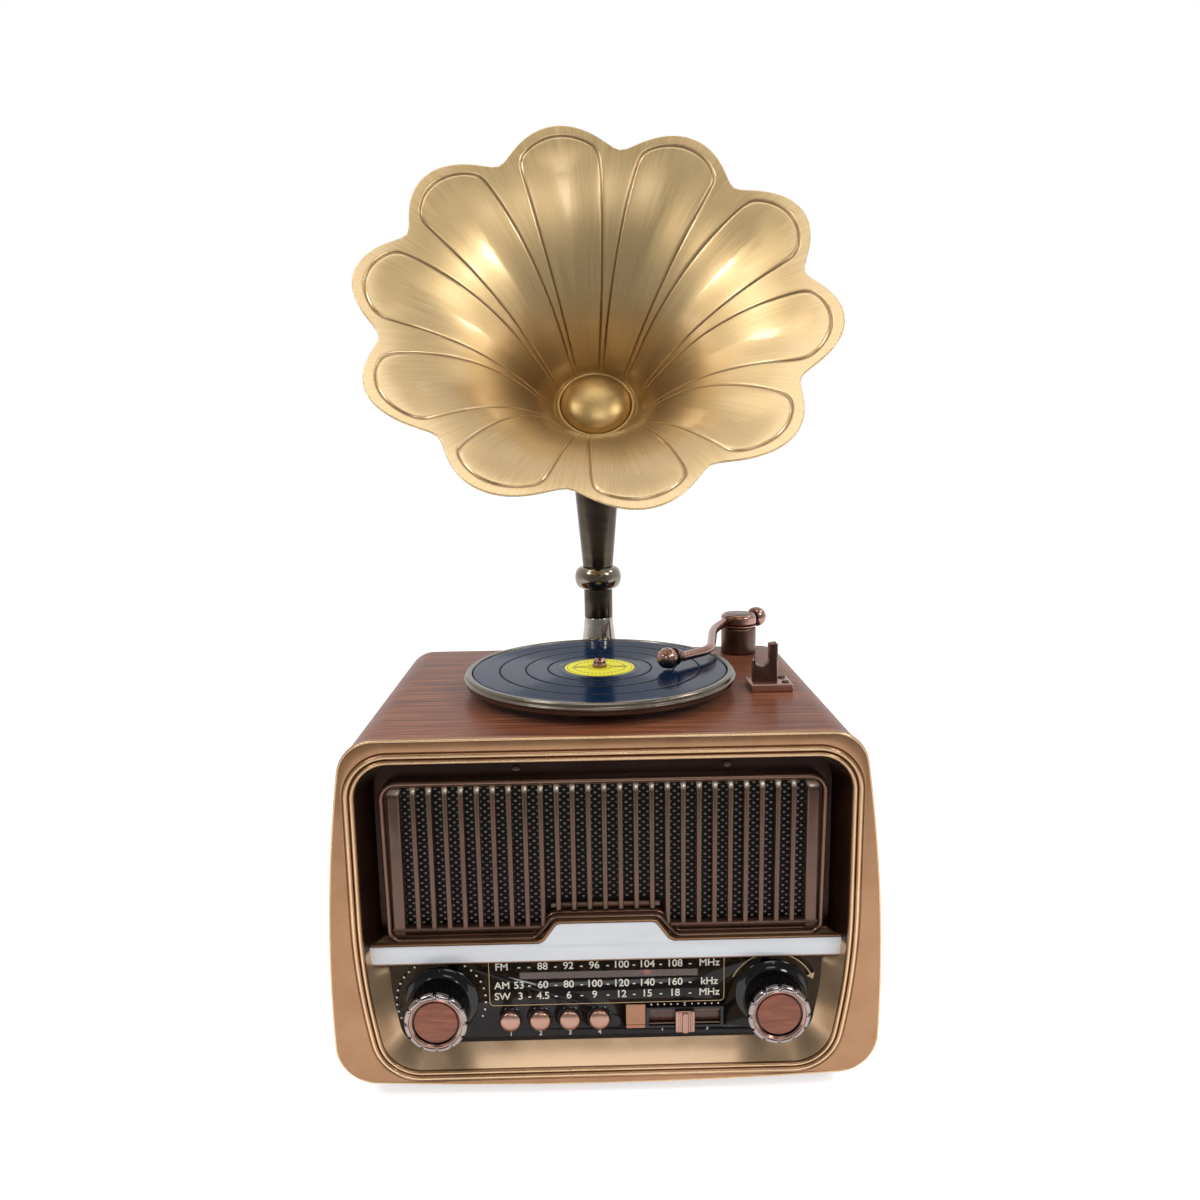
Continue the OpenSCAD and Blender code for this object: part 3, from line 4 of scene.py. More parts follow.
import bpy
import mathutils
import numpy as np
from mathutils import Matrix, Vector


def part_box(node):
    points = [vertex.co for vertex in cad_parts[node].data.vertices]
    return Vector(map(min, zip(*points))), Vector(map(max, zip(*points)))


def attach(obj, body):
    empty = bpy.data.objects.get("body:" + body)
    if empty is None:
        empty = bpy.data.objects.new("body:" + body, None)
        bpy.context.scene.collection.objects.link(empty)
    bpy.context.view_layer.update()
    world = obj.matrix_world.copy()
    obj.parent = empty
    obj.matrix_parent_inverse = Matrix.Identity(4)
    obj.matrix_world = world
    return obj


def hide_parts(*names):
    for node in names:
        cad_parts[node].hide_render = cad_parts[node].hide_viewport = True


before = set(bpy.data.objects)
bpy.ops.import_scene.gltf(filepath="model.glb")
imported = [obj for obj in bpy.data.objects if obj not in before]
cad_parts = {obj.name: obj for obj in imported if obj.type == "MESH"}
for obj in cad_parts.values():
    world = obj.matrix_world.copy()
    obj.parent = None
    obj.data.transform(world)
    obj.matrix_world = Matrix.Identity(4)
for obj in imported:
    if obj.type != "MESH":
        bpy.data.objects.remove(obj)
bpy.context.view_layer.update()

bl_info = {
    "name": "Radiogram",
    "version": (1, 0, 0),
    "blender": (4, 5, 0),
    "location": "View3D > Sidebar > Radiogram",
    "description": "Dresses the CAD frame of a tabletop radiogram with a petal horn",
    "category": "Object",
}

MM = 0.001
BEZEL_DEPTH = 8.0
# The bezel's front face in the frame; depths below are counted back from it, in millimetres
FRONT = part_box("cabinet_shell")[0][1] / MM - BEZEL_DEPTH
TO_FRONT, TO_BACK = (0, -1, 0), (0, 1, 0)
# Depth of the panel's face, places across and heights of the controls
PANEL = 10.0
KNOB_X, KNOB_Z = 80.5, 46.1
SELECTOR_X, SELECTOR_Z = 37.9, 34.3
BUTTON_X, BUTTON_STEP, BUTTON_Z = -47.2, 14.45, 35.1
POINTER_X = 19.8


# Numbers and outlines
def linear(code):
    """sRGB hex colour to the linear values that shaders take."""
    c = np.array([int(code[i:i + 2], 16) for i in (1, 3, 5)]) / 255
    c = np.where(c <= 0.04045, c / 12.92, ((c + 0.055) / 1.055) ** 2.4)
    return (*c.tolist(), 1.0)


def arc(cx, cz, r, a0, a1, n):
    """n points on a circle from angle a0 to a1, in degrees."""
    a = np.radians(np.linspace(a0, a1, n))
    return np.stack([cx + r * np.cos(a), cz + r * np.sin(a)], 1)


def line(p, q, n):
    """n evenly spaced points from p to q, without q."""
    t = np.linspace(0, 1, n, endpoint=False)[:, None]
    return np.asarray(p) * (1 - t) + np.asarray(q) * t


def both_sides(half):
    """A half outline from the top middle to the bottom middle, mirrored across X = 0 and closed."""
    return np.vstack([half, (half * [-1, 1])[-2:0:-1]])


def cabinet_outline(i=0.0):
    """The cabinet's outline drawn in by i: sides bowed on a large circle, tangent corner circles, sagging
    bottom."""
    side, mid, top, base = 750.0, 50.0, 181.5, 6.2
    big, cx = side - i, 131.0 - side
    rt, rb, sag = 18.0 - i, 20.5 - i, 2.8
    zt, zb = top - i - rt, base + i + sag + rb
    xt = cx + math.sqrt((big - rt) ** 2 - (zt - mid) ** 2)
    xb = cx + math.sqrt((big - rb) ** 2 - (zb - mid) ** 2)
    at = math.degrees(math.atan2(zt - mid, xt - cx))
    ab = math.degrees(math.atan2(zb - mid, xb - cx))
    x = np.linspace(xb, 0, 31)[1:]
    bottom = np.stack([x, zb - rb - sag * (1 - (x / xb) ** 2)], 1)
    return both_sides(np.vstack([line((0, top - i), (xt, top - i), 30), arc(xt, zt, rt, 90, at, 24)[:-1],
                                 arc(cx, mid, big, at, ab, 60)[:-1], arc(xb, zb, rb, ab, -90, 24), bottom]))


def opening_outline(o=0.0):
    """The bezel opening's outline grown by o, point for point beside the cabinet's outline."""
    top, base, side_z = 169.6, 15.9, 95.0
    w, big, rt, rb = 114.0 + o, 330.0 + o, 16.0 + o, 19.0 + o
    zb = base - o + rb
    xb = w - big + math.sqrt((big - rb) ** 2 - (zb - side_z) ** 2)
    ab = math.degrees(math.atan2(zb - side_z, xb - w + big))
    side = np.vstack([line((w, top + o - rt), (w, side_z), 29), arc(w - big, side_z, big, 0, ab, 31)[:-1]])
    return both_sides(np.vstack([line((0, top + o), (w - rt, top + o), 30),
                                 arc(w - rt, top + o - rt, rt, 90, 0, 24)[:-1], side,
                                 arc(xb, zb, rb, ab, -90, 24), line((xb, base - o), (0, base - o), 30)[1:],
                                 [[0, base - o]]]))


def offset(outline, d):
    """Moves a closed outline along its mitred normals: outwards by d, or inwards where d is negative."""
    p = np.asarray(outline, float)
    x, z = p.T
    spin = -1 if np.sum(x * np.roll(z, -1) - np.roll(x, -1) * z) > 0 else 1
    edges = np.stack([p - np.roll(p, 1, 0), np.roll(p, -1, 0) - p])
    normals = np.stack([-edges[..., 1], edges[..., 0]], -1)
    normals /= np.maximum(np.linalg.norm(edges, axis=2), 1e-9)[..., None]
    mitre = normals.sum(0) / np.maximum(1 + np.sum(normals[0] * normals[1], 1), 0.2)[:, None]
    return p + spin * d * mitre


def fillet(points, radii, steps=7, closed=True):
    """Rounds each corner of a polyline with an arc tangent to both edges. A radius is cut to what its edges
    allow, and an open polyline keeps its two ends."""
    p = np.asarray(points, float)
    r = np.broadcast_to(np.asarray(radii, float), len(p)).copy()
    a, b = np.roll(p, 1, 0) - p, np.roll(p, -1, 0) - p
    la, lb = np.linalg.norm(a, axis=1), np.linalg.norm(b, axis=1)
    if not closed:
        r[[0, -1]] = 0
        la[0], lb[-1] = lb[0], la[-1]
    ua, ub = a / la[:, None], b / lb[:, None]
    half = np.arccos(np.clip(np.sum(ua * ub, 1), -0.99999, 0.99999)) / 2
    back = np.minimum(r / np.tan(half), 0.49 * np.minimum(la, lb))
    r = back * np.tan(half)
    middle = ua + ub
    middle /= np.maximum(np.linalg.norm(middle, axis=1), 1e-9)[:, None]
    centre = p + middle * (r / np.sin(half))[:, None]
    start, end = p + ua * back[:, None] - centre, p + ub * back[:, None] - centre
    s = np.linspace(0, 1, steps)[None, :, None]
    turn = (math.pi - 2 * half)[:, None, None]
    swing = np.sin((1 - s) * turn) * start[:, None] + np.sin(s * turn) * end[:, None]
    rounded = centre[:, None] + swing / np.maximum(np.sin(turn), 1e-9)
    return np.vstack([rounded[k] if r[k] > 1e-6 else p[k:k + 1] for k in range(len(p))])


def lay(outline, depth):
    """Flat points (x, z) put at a depth behind the bezel's front."""
    flat = np.asarray(outline, float)
    return np.column_stack([flat[:, 0], np.broadcast_to(np.asarray(depth, float), len(flat)), flat[:, 1]])


# Shells and pieces
def loft(rings, ends="fan", closed=False, uv=None):
    """Quads between neighbouring rings of points. Each end is fanned to its middle or filled as one face, or
    a closed loft joins its last ring to the first. uv has a row and a column more than there are quads."""
    rings = np.asarray(rings, float)
    r, n = rings.shape[:2]
    i = np.arange(r if closed else r - 1)[:, None]
    j = np.arange(n)[None, :]
    k, m = (i + 1) % r, (j + 1) % n
    quads = np.stack([i * n + j, i * n + m, k * n + m, k * n + j], -1).reshape(-1, 4)
    verts, faces, corners = rings.reshape(-1, 3), [quads], None
    if uv is not None:
        i, j = np.broadcast_arrays(i, j)
        corners = np.stack([uv[i, j], uv[i, j + 1], uv[i + 1, j + 1], uv[i + 1, j]], 2).reshape(-1, 2)
    for row in () if closed else (0, r - 1):
        ring = np.arange(n) + row * n
        order = ring[::-1] if row == 0 else ring
        if ends == "fan":
            verts = np.vstack([verts, rings[row].mean(0)])
            faces.append(np.stack([order, np.roll(order, -1), np.full(n, len(verts) - 1)], 1))
        else:
            faces.append(order[None])
    return outward(verts, faces, corners)


def outward(verts, faces, corners=None):
    """Turns all faces of a shut shell round where its signed volume is negative. faces holds arrays of
    vertex numbers, each with faces of one size."""
    volume = sum(np.sum(verts[f[:, :1]] * np.cross(verts[f[:, 1:-1]], verts[f[:, 2:]])) for f in faces)
    # World depth runs the same way as Y, so the sign is that of the finished mesh
    if volume < 0:
        faces = [f[:, ::-1] for f in faces]
        if corners is not None:
            corners = corners.reshape(-1, 4, 2)[:, ::-1].reshape(-1, 2)
    return verts, faces, corners


def piece(name, shells, body, material, stands_for=(), crease=32):
    """One object from shells given in millimetres (x, depth, height). It rides on a CAD body and stands for
    the
    CAD nodes that are named. Edges sharper than crease degrees stay sharp."""
    shells = shells if isinstance(shells, list) else [shells]
    verts = np.vstack([s[0] for s in shells]) * MM
    verts[:, 1] += FRONT * MM
    starts = np.cumsum([0] + [len(s[0]) for s in shells])
    faces = [row for s, start in zip(shells, starts) for f in s[1] for row in (f + start).tolist()]
    mesh = bpy.data.meshes.new(name)
    mesh.from_pydata(verts.tolist(), [], faces)
    corners = shells[0][2]
    if corners is not None:
        mesh.uv_layers.new(name="UVMap").data.foreach_set("uv", corners.astype(np.float32).ravel())
    mesh.materials.append(material)
    mesh.shade_smooth()
    mesh.set_sharp_from_angle(angle=math.radians(crease))
    mesh.update()
    obj = bpy.data.objects.new(name, mesh)
    bpy.context.scene.collection.objects.link(obj)
    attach(obj, body)
    if stands_for:
        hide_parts(*stands_for)
    return obj


def revolve(profile, origin, axis=(0, 0, 1), n=96, wave=None):
    """A profile of (radius, height) turned about an axis. wave(angle, radius, height) gives changed radii.
    A profile's ends lie on the axis and close there, or both lie off it and join each other."""
    profile = np.asarray(profile, float)
    e3 = np.asarray(axis, float) / np.linalg.norm(axis)
    e1 = np.cross(e3, (0, 0, 1.0)) if abs(e3[2]) < 0.9 else np.array([1.0, 0, 0])
    e1 /= np.linalg.norm(e1)
    e2 = np.cross(e3, e1)
    a = np.linspace(0, 2 * math.pi, n, endpoint=False)[None, :]
    r = profile[:, :1] + 0 * a
    if wave:
        r = wave(a + 0 * r, r, profile[:, 1:] + 0 * a)
    rings = np.asarray(origin, float) + r[...,
                                          None] * (np.cos(a)[..., None] * e1 + np.sin(a)[..., None] * e2)
    rings = rings + profile[:, 1][:, None, None] * e3
    if profile[0, 0] > 1e-6 and profile[-1, 0] > 1e-6:
        return loft(rings, closed=True)
    shell = loft(rings[1:-1])
    shell[0][-2:] = rings[[0, -1], 0]
    return shell


def round_over(outline, face, bevel, steps):
    """Rings of a quarter-round edge up to a face, with the solid behind it, or before it for a negative
    bevel."""
    a = np.radians(np.linspace(0, 90, steps + 1))
    return [lay(offset(outline, -abs(bevel) * (1 - math.cos(t))),
                face + bevel * (1 - math.sin(t))) for t in a]


def plate(outline, front, back, bevel=0.5, steps=4):
    """An outline given a thickness, with its front edge rounded over by a quarter circle."""
    return loft([lay(outline, back)] + round_over(outline, front, bevel, steps), ends="face")


def tube(path, radii, side=(0, 0, 1), n=20):
    """A round tube along a path of points, its rings square to the path and its ends flat."""
    p = np.asarray(path, float)
    radii = np.broadcast_to(np.asarray(radii, float), len(p))[:, None, None]
    d = np.gradient(p, axis=0)
    d /= np.linalg.norm(d, axis=1)[:, None]
    u = np.cross(d, np.asarray(side, float))
    u /= np.linalg.norm(u, axis=1)[:, None]
    v = np.cross(u, d)
    a = np.linspace(0, 2 * math.pi, n, endpoint=False)[None, :, None]
    return loft(p[:, None] + radii * (np.cos(a) * v[:, None] + np.sin(a) * u[:, None]))


def block(low, high, bevel=0.4):
    """A block from its lowest to its highest corner (x, depth, height), with all its edges rounded."""
    (x0, d0, z0), (x1, d1, z1) = low, high
    flat = fillet([(x0, z0), (x0, z1), (x1, z1), (x1, z0)], bevel * 1.3, 4)
    return loft(round_over(flat, d0, bevel, 3)[::-1] + round_over(flat, d1, -bevel, 3), ends="face")


def band(outline, profile):
    """A profile of (growth, depth) carried round a closed outline and joined to itself."""
    return loft([lay(offset(outline, o), d) for o, d in profile], closed=True)


def cut_out(obj, shells):
    """Cuts closed shells out of a piece with an exact boolean, and keeps the result as its mesh."""
    tool = piece(obj.name + "_tool", shells, "cabinet", obj.data.materials[0])
    mod = obj.modifiers.new("cut", "BOOLEAN")
    mod.object, mod.solver, mod.operation = tool, "EXACT", "DIFFERENCE"
    graph = bpy.context.evaluated_depsgraph_get()
    graph.update()
    mesh = bpy.data.meshes.new_from_object(obj.evaluated_get(graph))
    obj.modifiers.clear()
    obj.data = mesh
    bpy.data.objects.remove(tool)


# Finishes
def add(tree, kind, inputs=None, **settings):
    """Adds a node, sets its properties, and links or sets its inputs."""
    node = tree.nodes.new(kind)
    for key, value in settings.items():
        setattr(node, key, value)
    for key, value in (inputs or {}).items():
        socket = node.inputs[key]
        if isinstance(value, bpy.types.NodeSocket):
            tree.links.new(value, socket)
        else:
            socket.default_value = value
    return node


FINISHES = {}


def finish(name, colours, pattern=400, detail=3.0, uv=False, metallic=0.0, roughness=0.4, vary=0.06,
           bump=0.0, bump_scale=None, coat=0.0, coat_rough=0.1, specular=0.5, glow=0.0, alpha=1.0,
           above=None, painted_shade=None):
    """A finish on the Principled shader. A noise pattern, of one scale or of one for each axis, spreads the
    colours and the roughness, and a finer one moves the surface by bump mm. Above a height in mm a second
    set takes over as painted light or shade, and painted shade lies where the mesh's shade value is high."""
    if name in FINISHES:
        return FINISHES[name]
    mat = bpy.data.materials.new(name)
    mat.use_nodes = True
    tree = mat.node_tree
    shader = next(n for n in tree.nodes if n.type == "BSDF_PRINCIPLED")
    place = add(tree, "ShaderNodeTexCoord").outputs
    spots = [add(tree, "ShaderNodeMapping", {"Vector": place["UV" if uv else "Object"],
                                             "Scale": np.broadcast_to(scale, 3).tolist()}).outputs[0]
             for scale in (pattern, bump_scale or pattern)]
    noise = add(tree, "ShaderNodeTexNoise",
                {"Vector": spots[0], "Scale": 1.0, "Detail": detail, "Roughness": 0.55}).outputs["Fac"]
    layers = [(None, colours)]
    if above:
        height = add(tree, "ShaderNodeSeparateXYZ", {"Vector": place["Object"]}).outputs["Z"]
        mask = add(tree, "ShaderNodeMapRange", {"Value": height, "From Min": (above[0] - 1) * MM,
                                                "From Max": (above[0] + 1) * MM}).outputs["Result"]
        layers.append((mask, above[1]))
    if painted_shade:
        layers.append((add(tree, "ShaderNodeAttribute", attribute_name="painted_shade").outputs["Fac"], painted_shade))
    for mask, codes in layers:
        # The colours are spread evenly over the noise's usual values
        node = add(tree, "ShaderNodeValToRGB", {"Fac": noise})
        stops = node.color_ramp.elements
        places = np.linspace(0.3, 0.7, len(codes))
        stops[0].position, stops[0].color = places[0], linear(codes[0])
        stops[1].position, stops[1].color = places[-1], linear(codes[-1])
        for at, code in zip(places[1:-1], codes[1:-1]):
            stops.new(at).color = linear(code)
        tint = node.outputs["Color"]
        if mask:
            tint = add(tree, "ShaderNodeMixRGB",
                       {"Fac": mask, "Color1": colour, "Color2": tint}).outputs["Color"]
        colour = tint
    tree.links.new(colour, shader.inputs["Base Color"])
    rough = add(tree, "ShaderNodeMapRange",
                {"Value": noise, "From Min": 0.25, "From Max": 0.75, "To Min": max(roughness - vary, 0.02),
                 "To Max": roughness + vary})
    tree.links.new(rough.outputs["Result"], shader.inputs["Roughness"])
    if bump:
        fine = add(tree, "ShaderNodeTexNoise", {"Vector": spots[1], "Scale": 1.0, "Detail": 2.0})
        lift = add(tree, "ShaderNodeBump",
                   {"Height": fine.outputs["Fac"], "Strength": 1.0, "Distance": bump * MM})
        tree.links.new(lift.outputs["Normal"], shader.inputs["Normal"])
    for key, value in (("Metallic", metallic), ("Coat Weight", coat), ("Coat Roughness", coat_rough),
                       ("Specular IOR Level", specular), ("Alpha", alpha), ("Emission Strength", glow)):
        shader.inputs[key].default_value = value
    if glow:
        shader.inputs["Emission Color"].default_value = linear(colours[-1])
    FINISHES[name] = mat
    return mat


def walnut_veneer():
    """Walnut-stained veneer, satin lacquer: long fibres round the wrap, short dark pores, soft gloss."""
    # The UV map is in centimetres: fibres 1 mm across and 60 mm long, pores 0.3 mm across and 5 mm long
    return finish("walnut_veneer", ("#371a0e", "#643522", "#885238", "#ae7858"), (0.16, 10.0, 1), 8.0, True,
                  roughness=0.38, bump=0.05, bump_scale=(2.0, 34.0, 1), coat=0.06, coat_rough=0.2,
                  specular=0.12)


def bronze_lacquer():
    """Case plastic sprayed with a fine bronze metallic lacquer: soft broad highlights, faint flake."""
    return finish("bronze_lacquer", ("#936c4b", "#a27957"), 60, metallic=0.85, roughness=0.31, vary=0.03,
                  coat=0.3)


def crest_highlight_paint():
    """Paler lacquer for thin cream lines on the crests of beads and edges: painted highlights."""
    return finish("crest_highlight_paint", ("#cfae84", "#dabb93"), 60, metallic=0.8, roughness=0.27, vary=0.03,
                  coat=0.4)


def recess_lacquer_shaded_above():
    """The same lacquer inside the recess, with dark brown above the trim bar: painted shade under the
    bezel's top.
    """
    return finish("recess_lacquer_shaded_above", ("#cdab87", "#d9b995"), 60, metallic=0.75, roughness=0.33, vary=0.04,
                  coat=0.2, above=(76, ("#2d1810", "#3b2318")))


def tile_brown():
    """Brown moulded backing of the selector windows."""
    return finish("selector_brown", ("#4a2a1c", "#5c3727"), roughness=0.3)


def brushed_brass():
    """Sheet brass, brushed along each petal and lacquered: fine radial lines, satin, honey colour."""
    # The UV map is in centimetres, first round the bell, then along it: lines 0.7 mm apart, 40 mm long
    # Its second colours are painted shade for the pressed lines and the deep throat
    return finish("brushed_brass", ("#c3a472", "#cbae7c", "#d3b888"), (14.0, 0.25, 1), 3.0, True,
                  metallic=1.0, roughness=0.4, bump=0.0015, bump_scale=(30.0, 0.5, 1), coat=1.0,
                  coat_rough=0.18, painted_shade=("#6a4a22", "#76542a"))


def turned_brass():
    """Polished turned brass under clear lacquer: soft mirror with a few turning marks."""
    return finish("turned_brass", ("#bb9a60", "#c5a56d"), (120, 120, 300), metallic=1.0, roughness=0.4,
                  vary=0.03, coat=0.3, coat_rough=0.3)


def gunmetal():
    """Die-cast zinc plated to a dark gunmetal bronze and polished: near-mirror with brown lights."""
    return finish("gunmetal_plate", ("#453e35", "#574e43"), (60, 60, 200), metallic=1.0, roughness=0.2,
                  vary=0.03)


def antique_copper():
    """Zinc plated to antique copper and buffed: warm pink-brown metal, a little darker in patches."""
    return finish("antique_copper", ("#8d6c60", "#9c786a", "#ab8676"), 50, metallic=1.0, roughness=0.23,
                  vary=0.03, coat=0.3, coat_rough=0.2)


def pale_copper():
    """Copper plate buffed bright and satin on the push buttons."""
    return finish("pale_copper", ("#a67f70", "#b28b7b"), 60, metallic=0.9, roughness=0.3, vary=0.03)


def dark_copper():
    """Antique copper plate left dark and less buffed."""
    return finish("dark_copper", ("#5c4840", "#6b554b"), 40, metallic=1.0, roughness=0.3, vary=0.03)


def brown_lacquer():
    """Grille moulding sprayed with brown metallic lacquer: satin, cream lights on upward edges."""
    return finish("brown_lacquer", ("#664938", "#735443"), 60, metallic=0.75, roughness=0.3, vary=0.03,
                  coat=0.3)


def bar_lacquer_painted_highlight():
    """The same brown lacquer on the bars, turning cream on their curled tops: a painted highlight."""
    return finish("bar_lacquer_painted_highlight", ("#523a2c", "#604637"), 60, metallic=0.65, roughness=0.3, vary=0.03,
                  coat=0.3, above=(151.2, ("#c3b5a2", "#d6cab8")))


def black_mesh_and_painted_gaps():
    """Black-painted pressed steel mesh, dull in its hollows; also black on the record's smooth gaps as a
    painted dark reflection.
    """
    return finish("black_mesh_and_painted_gaps", ("#060505", "#0e0b0a"), 900, roughness=0.6, specular=0.15)


def silver_paint():
    """Smooth moulding in silver-white metallic paint: even, cool and bright."""
    return finish("silver_paint", ("#cccdd1", "#d6d7da"), (20, 120, 120), metallic=0.1, roughness=0.3,
                  vary=0.03, coat=0.3)


def panel_acrylic():
    """Back-painted gloss acrylic panel: deep brown-black with a clear reflecting face."""
    return finish("panel_acrylic", ("#120d0b", "#181210"), 300, roughness=0.1, vary=0.02, specular=0.22)


def print_ink():
    """Screen-printed warm white ink, matt."""
    return finish("print_ink", ("#d2cabb", "#e2dccf"), 800, roughness=0.6)


def gold_ink():
    """Hot-stamped gold line, thin and bright."""
    return finish("gold_ink", ("#9d8560", "#b39a74"), 500, metallic=0.5, roughness=0.4)


def beige_moulding():
    """Moulded ABS in warm beige with a satin skin."""
    return finish("beige_abs", ("#a37050", "#b07c5a"), roughness=0.35)


def smoked_lens():
    """Smoked brown acrylic strip over the pointer, clear enough to see through."""
    return finish("smoked_acrylic", ("#5b4a44", "#64524b"), 100, roughness=0.1, vary=0.02, alpha=0.8)


def pointer_glow():
    """Moulded orange-pink pointer lit from behind."""
    return finish("lit_pointer", ("#ff8f78", "#ff8470"), 500, glow=4.0)


def black_gloss():
    """Black polished moulding of the knobs: deep gloss, thin pale edge lights."""
    return finish("black_moulding", ("#08080a", "#0f0f12"), 300, roughness=0.12, vary=0.03, specular=0.4)


def chrome():
    """Bright chrome plate on the knob rings: mirror, with a faint warm cast."""
    return finish("chrome_plate", ("#8c8382", "#9b9291"), 300, metallic=1.0, roughness=0.13, vary=0.03)


def spun_copper():
    """Copper-anodised disc brushed across: fine straight lines, satin."""
    # Lines about 1 mm apart and 10 mm long, across the disc
    return finish("brushed_copper", ("#5e2c1c", "#6c3824", "#7d462e"), (100, 100, 1000), metallic=0.85,
                  roughness=0.3, coat=0.6)


def nickel():
    """Platter rim in aged nickel plate: warm grey-brown mirror with fine turning lines."""
    return finish("aged_nickel", ("#6c655a", "#7d756a"), (30, 30, 600), metallic=1.0, roughness=0.26,
                  vary=0.04)


def pressed_vinyl():
    """Pressed record vinyl, blue-black, the blue a painted reflection; grooves spread highlights along the
    radius.
    """
    return finish("pressed_vinyl", ("#0b1e38", "#122a49"), 60, roughness=0.14, vary=0.03, specular=0.09)


def label_card():
    """Bright lemon yellow printed label paper with a light varnish."""
    return finish("label_paper", ("#f0ea3c", "#f7f14c"), 700, roughness=0.5, specular=0.2)


def label_ink():
    """Dark printing ink on the label."""
    return finish("label_ink", ("#4d4a1c", "#5d5a26"), 700, roughness=0.55)


def plain_steel():
    """Bright zinc-plated steel for screws and shafts."""
    return finish("zinc_steel", ("#9d9a95", "#b0aea9"), 400, metallic=1.0, roughness=0.3)


def dark_plastic():
    """Black moulded ABS with a fine spark-eroded texture."""
    return finish("black_abs", ("#131216", "#1c1b1f"), 800, roughness=0.55, bump=0.02, bump_scale=1800)


def foot_rubber():
    """Moulded black rubber, matt."""
    return finish("moulded_rubber", ("#171615", "#22201f"), 900, roughness=0.75, bump=0.02, bump_scale=1500)


def board_lacquer():
    """Glass-fibre circuit board with green solder lacquer."""
    return finish("solder_lacquer", ("#18492a", "#286a41"), 300, roughness=0.3)


def cast_grey():
    """Grey painted pressings and castings inside the case."""
    return finish("grey_casting", ("#525356", "#6a6b6e"), roughness=0.45, bump=0.02, bump_scale=1200)


def mesh_glints():
    """Raised strands of the mesh in a pale colour: painted glints where light catches them."""
    return finish("mesh_glint_colour", ("#776c5d", "#918474"), 900, metallic=0.3, roughness=0.35)


def buffed_bronze():
    """Polished bead of the neck: the same plating, buffed lighter."""
    return finish("buffed_bronze", ("#7a7064", "#8b8174"), (80, 80, 200), metallic=1.0, roughness=0.16,
                  vary=0.03)


def bright_nickel():
    """Bright nickel collar that mirrors the room."""
    return finish("bright_nickel", ("#aca79d", "#bbb6ac"), (80, 80, 200), metallic=1.0, roughness=0.12,
                  vary=0.03)


def back_board():
    """Fibreboard rear cover with a brown paper foil: flat, fine-grained and dull."""
    return finish("foiled_fibreboard", ("#4d3025", "#5f3d2f", "#70493a"), (40, 40, 900), 5.0, roughness=0.5,
                  bump=0.03, bump_scale=(200, 200, 1800))


def cord_weave():
    """Waxed woven dial cord."""
    return finish("waxed_cord", ("#a8976c", "#c8b88e"), 1500, roughness=0.7)


# Settings
class RadiogramSizes(bpy.types.PropertyGroup):
    """Sizes that a user would change."""
    bead: bpy.props.FloatProperty(name="Bezel bead",
                                  description="Height of the beads round the opening, in mm", default=0.8,
                                  min=0.2, max=1.5)
    groove: bpy.props.FloatProperty(name="Petal groove",
                                    description="Depth of the groove round each petal, in mm", default=0.75,
                                    min=0.0, max=1.5)
    petal_hollow: bpy.props.FloatProperty(name="Petal hollow",
                                          description="How far a petal is dished across, in mm",
                                          default=1.6, min=0.0, max=4.0)
    louvres: bpy.props.IntProperty(name="Louvres", description="Number of bars in the grille", default=25,
                                   min=10, max=40)
    lamp: bpy.props.FloatProperty(name="Lamp level", description="Strength of the studio lamps",
                                  default=1.0, min=0.1, max=4.0, subtype="FACTOR")


class RadiogramColours(bpy.types.PropertyGroup):
    """Colours that a user would change."""
    floor: bpy.props.FloatVectorProperty(name="Floor", description="Colour of the floor", subtype="COLOR",
                                         size=4, default=linear("#f2f2f2"), min=0.0, max=1.0)
    backdrop: bpy.props.FloatVectorProperty(name="Backdrop", description="Colour behind the object",
                                            subtype="COLOR", size=4, default=linear("#ffffff"),
                                            min=0.0, max=1.0)


# Cabinet
class RADIOGRAM_OT_case(bpy.types.Operator):
    """Wooden wrap with a rounded back edge, grain running round it"""
    bl_idname = "radiogram.case"
    bl_label = "Wooden case"

    def execute(self, context):
        turn = np.radians(np.linspace(9, 90, 9))
        steps = [(0.8, 2.5), (0.8, 60.0), (0.8, 120.0), (0.8, 181.0)]
        steps += list(zip(0.8 + 4 * (1 - np.cos(turn)), 181 + 4 * np.sin(turn)))
        steps += [(5.5, 184.9), (5.8, 184.4), (5.8, 150.0), (5.8, 20.0)]
        base = cabinet_outline(0.8)
        around = np.cumsum(np.linalg.norm(np.roll(base, -1, 0) - base, axis=1))
        along = np.cumsum(np.linalg.norm(np.diff(np.array(steps), axis=0), axis=1))
        # The UV map is in centimetres, and its last row closes the wrap along the inside
        u, v = np.concatenate([[0], around]) / 10, np.concatenate([[0], along, [300]]) / 10
        uv = np.stack(np.broadcast_arrays(u[None, :], v[:, None]), -1)
        shell = loft([lay(cabinet_outline(i), d) for i, d in steps], closed=True, uv=uv)
        piece("wooden_case", shell, "cabinet", walnut_veneer(), ["cabinet_shell"], crease=50)
        return {"FINISHED"}


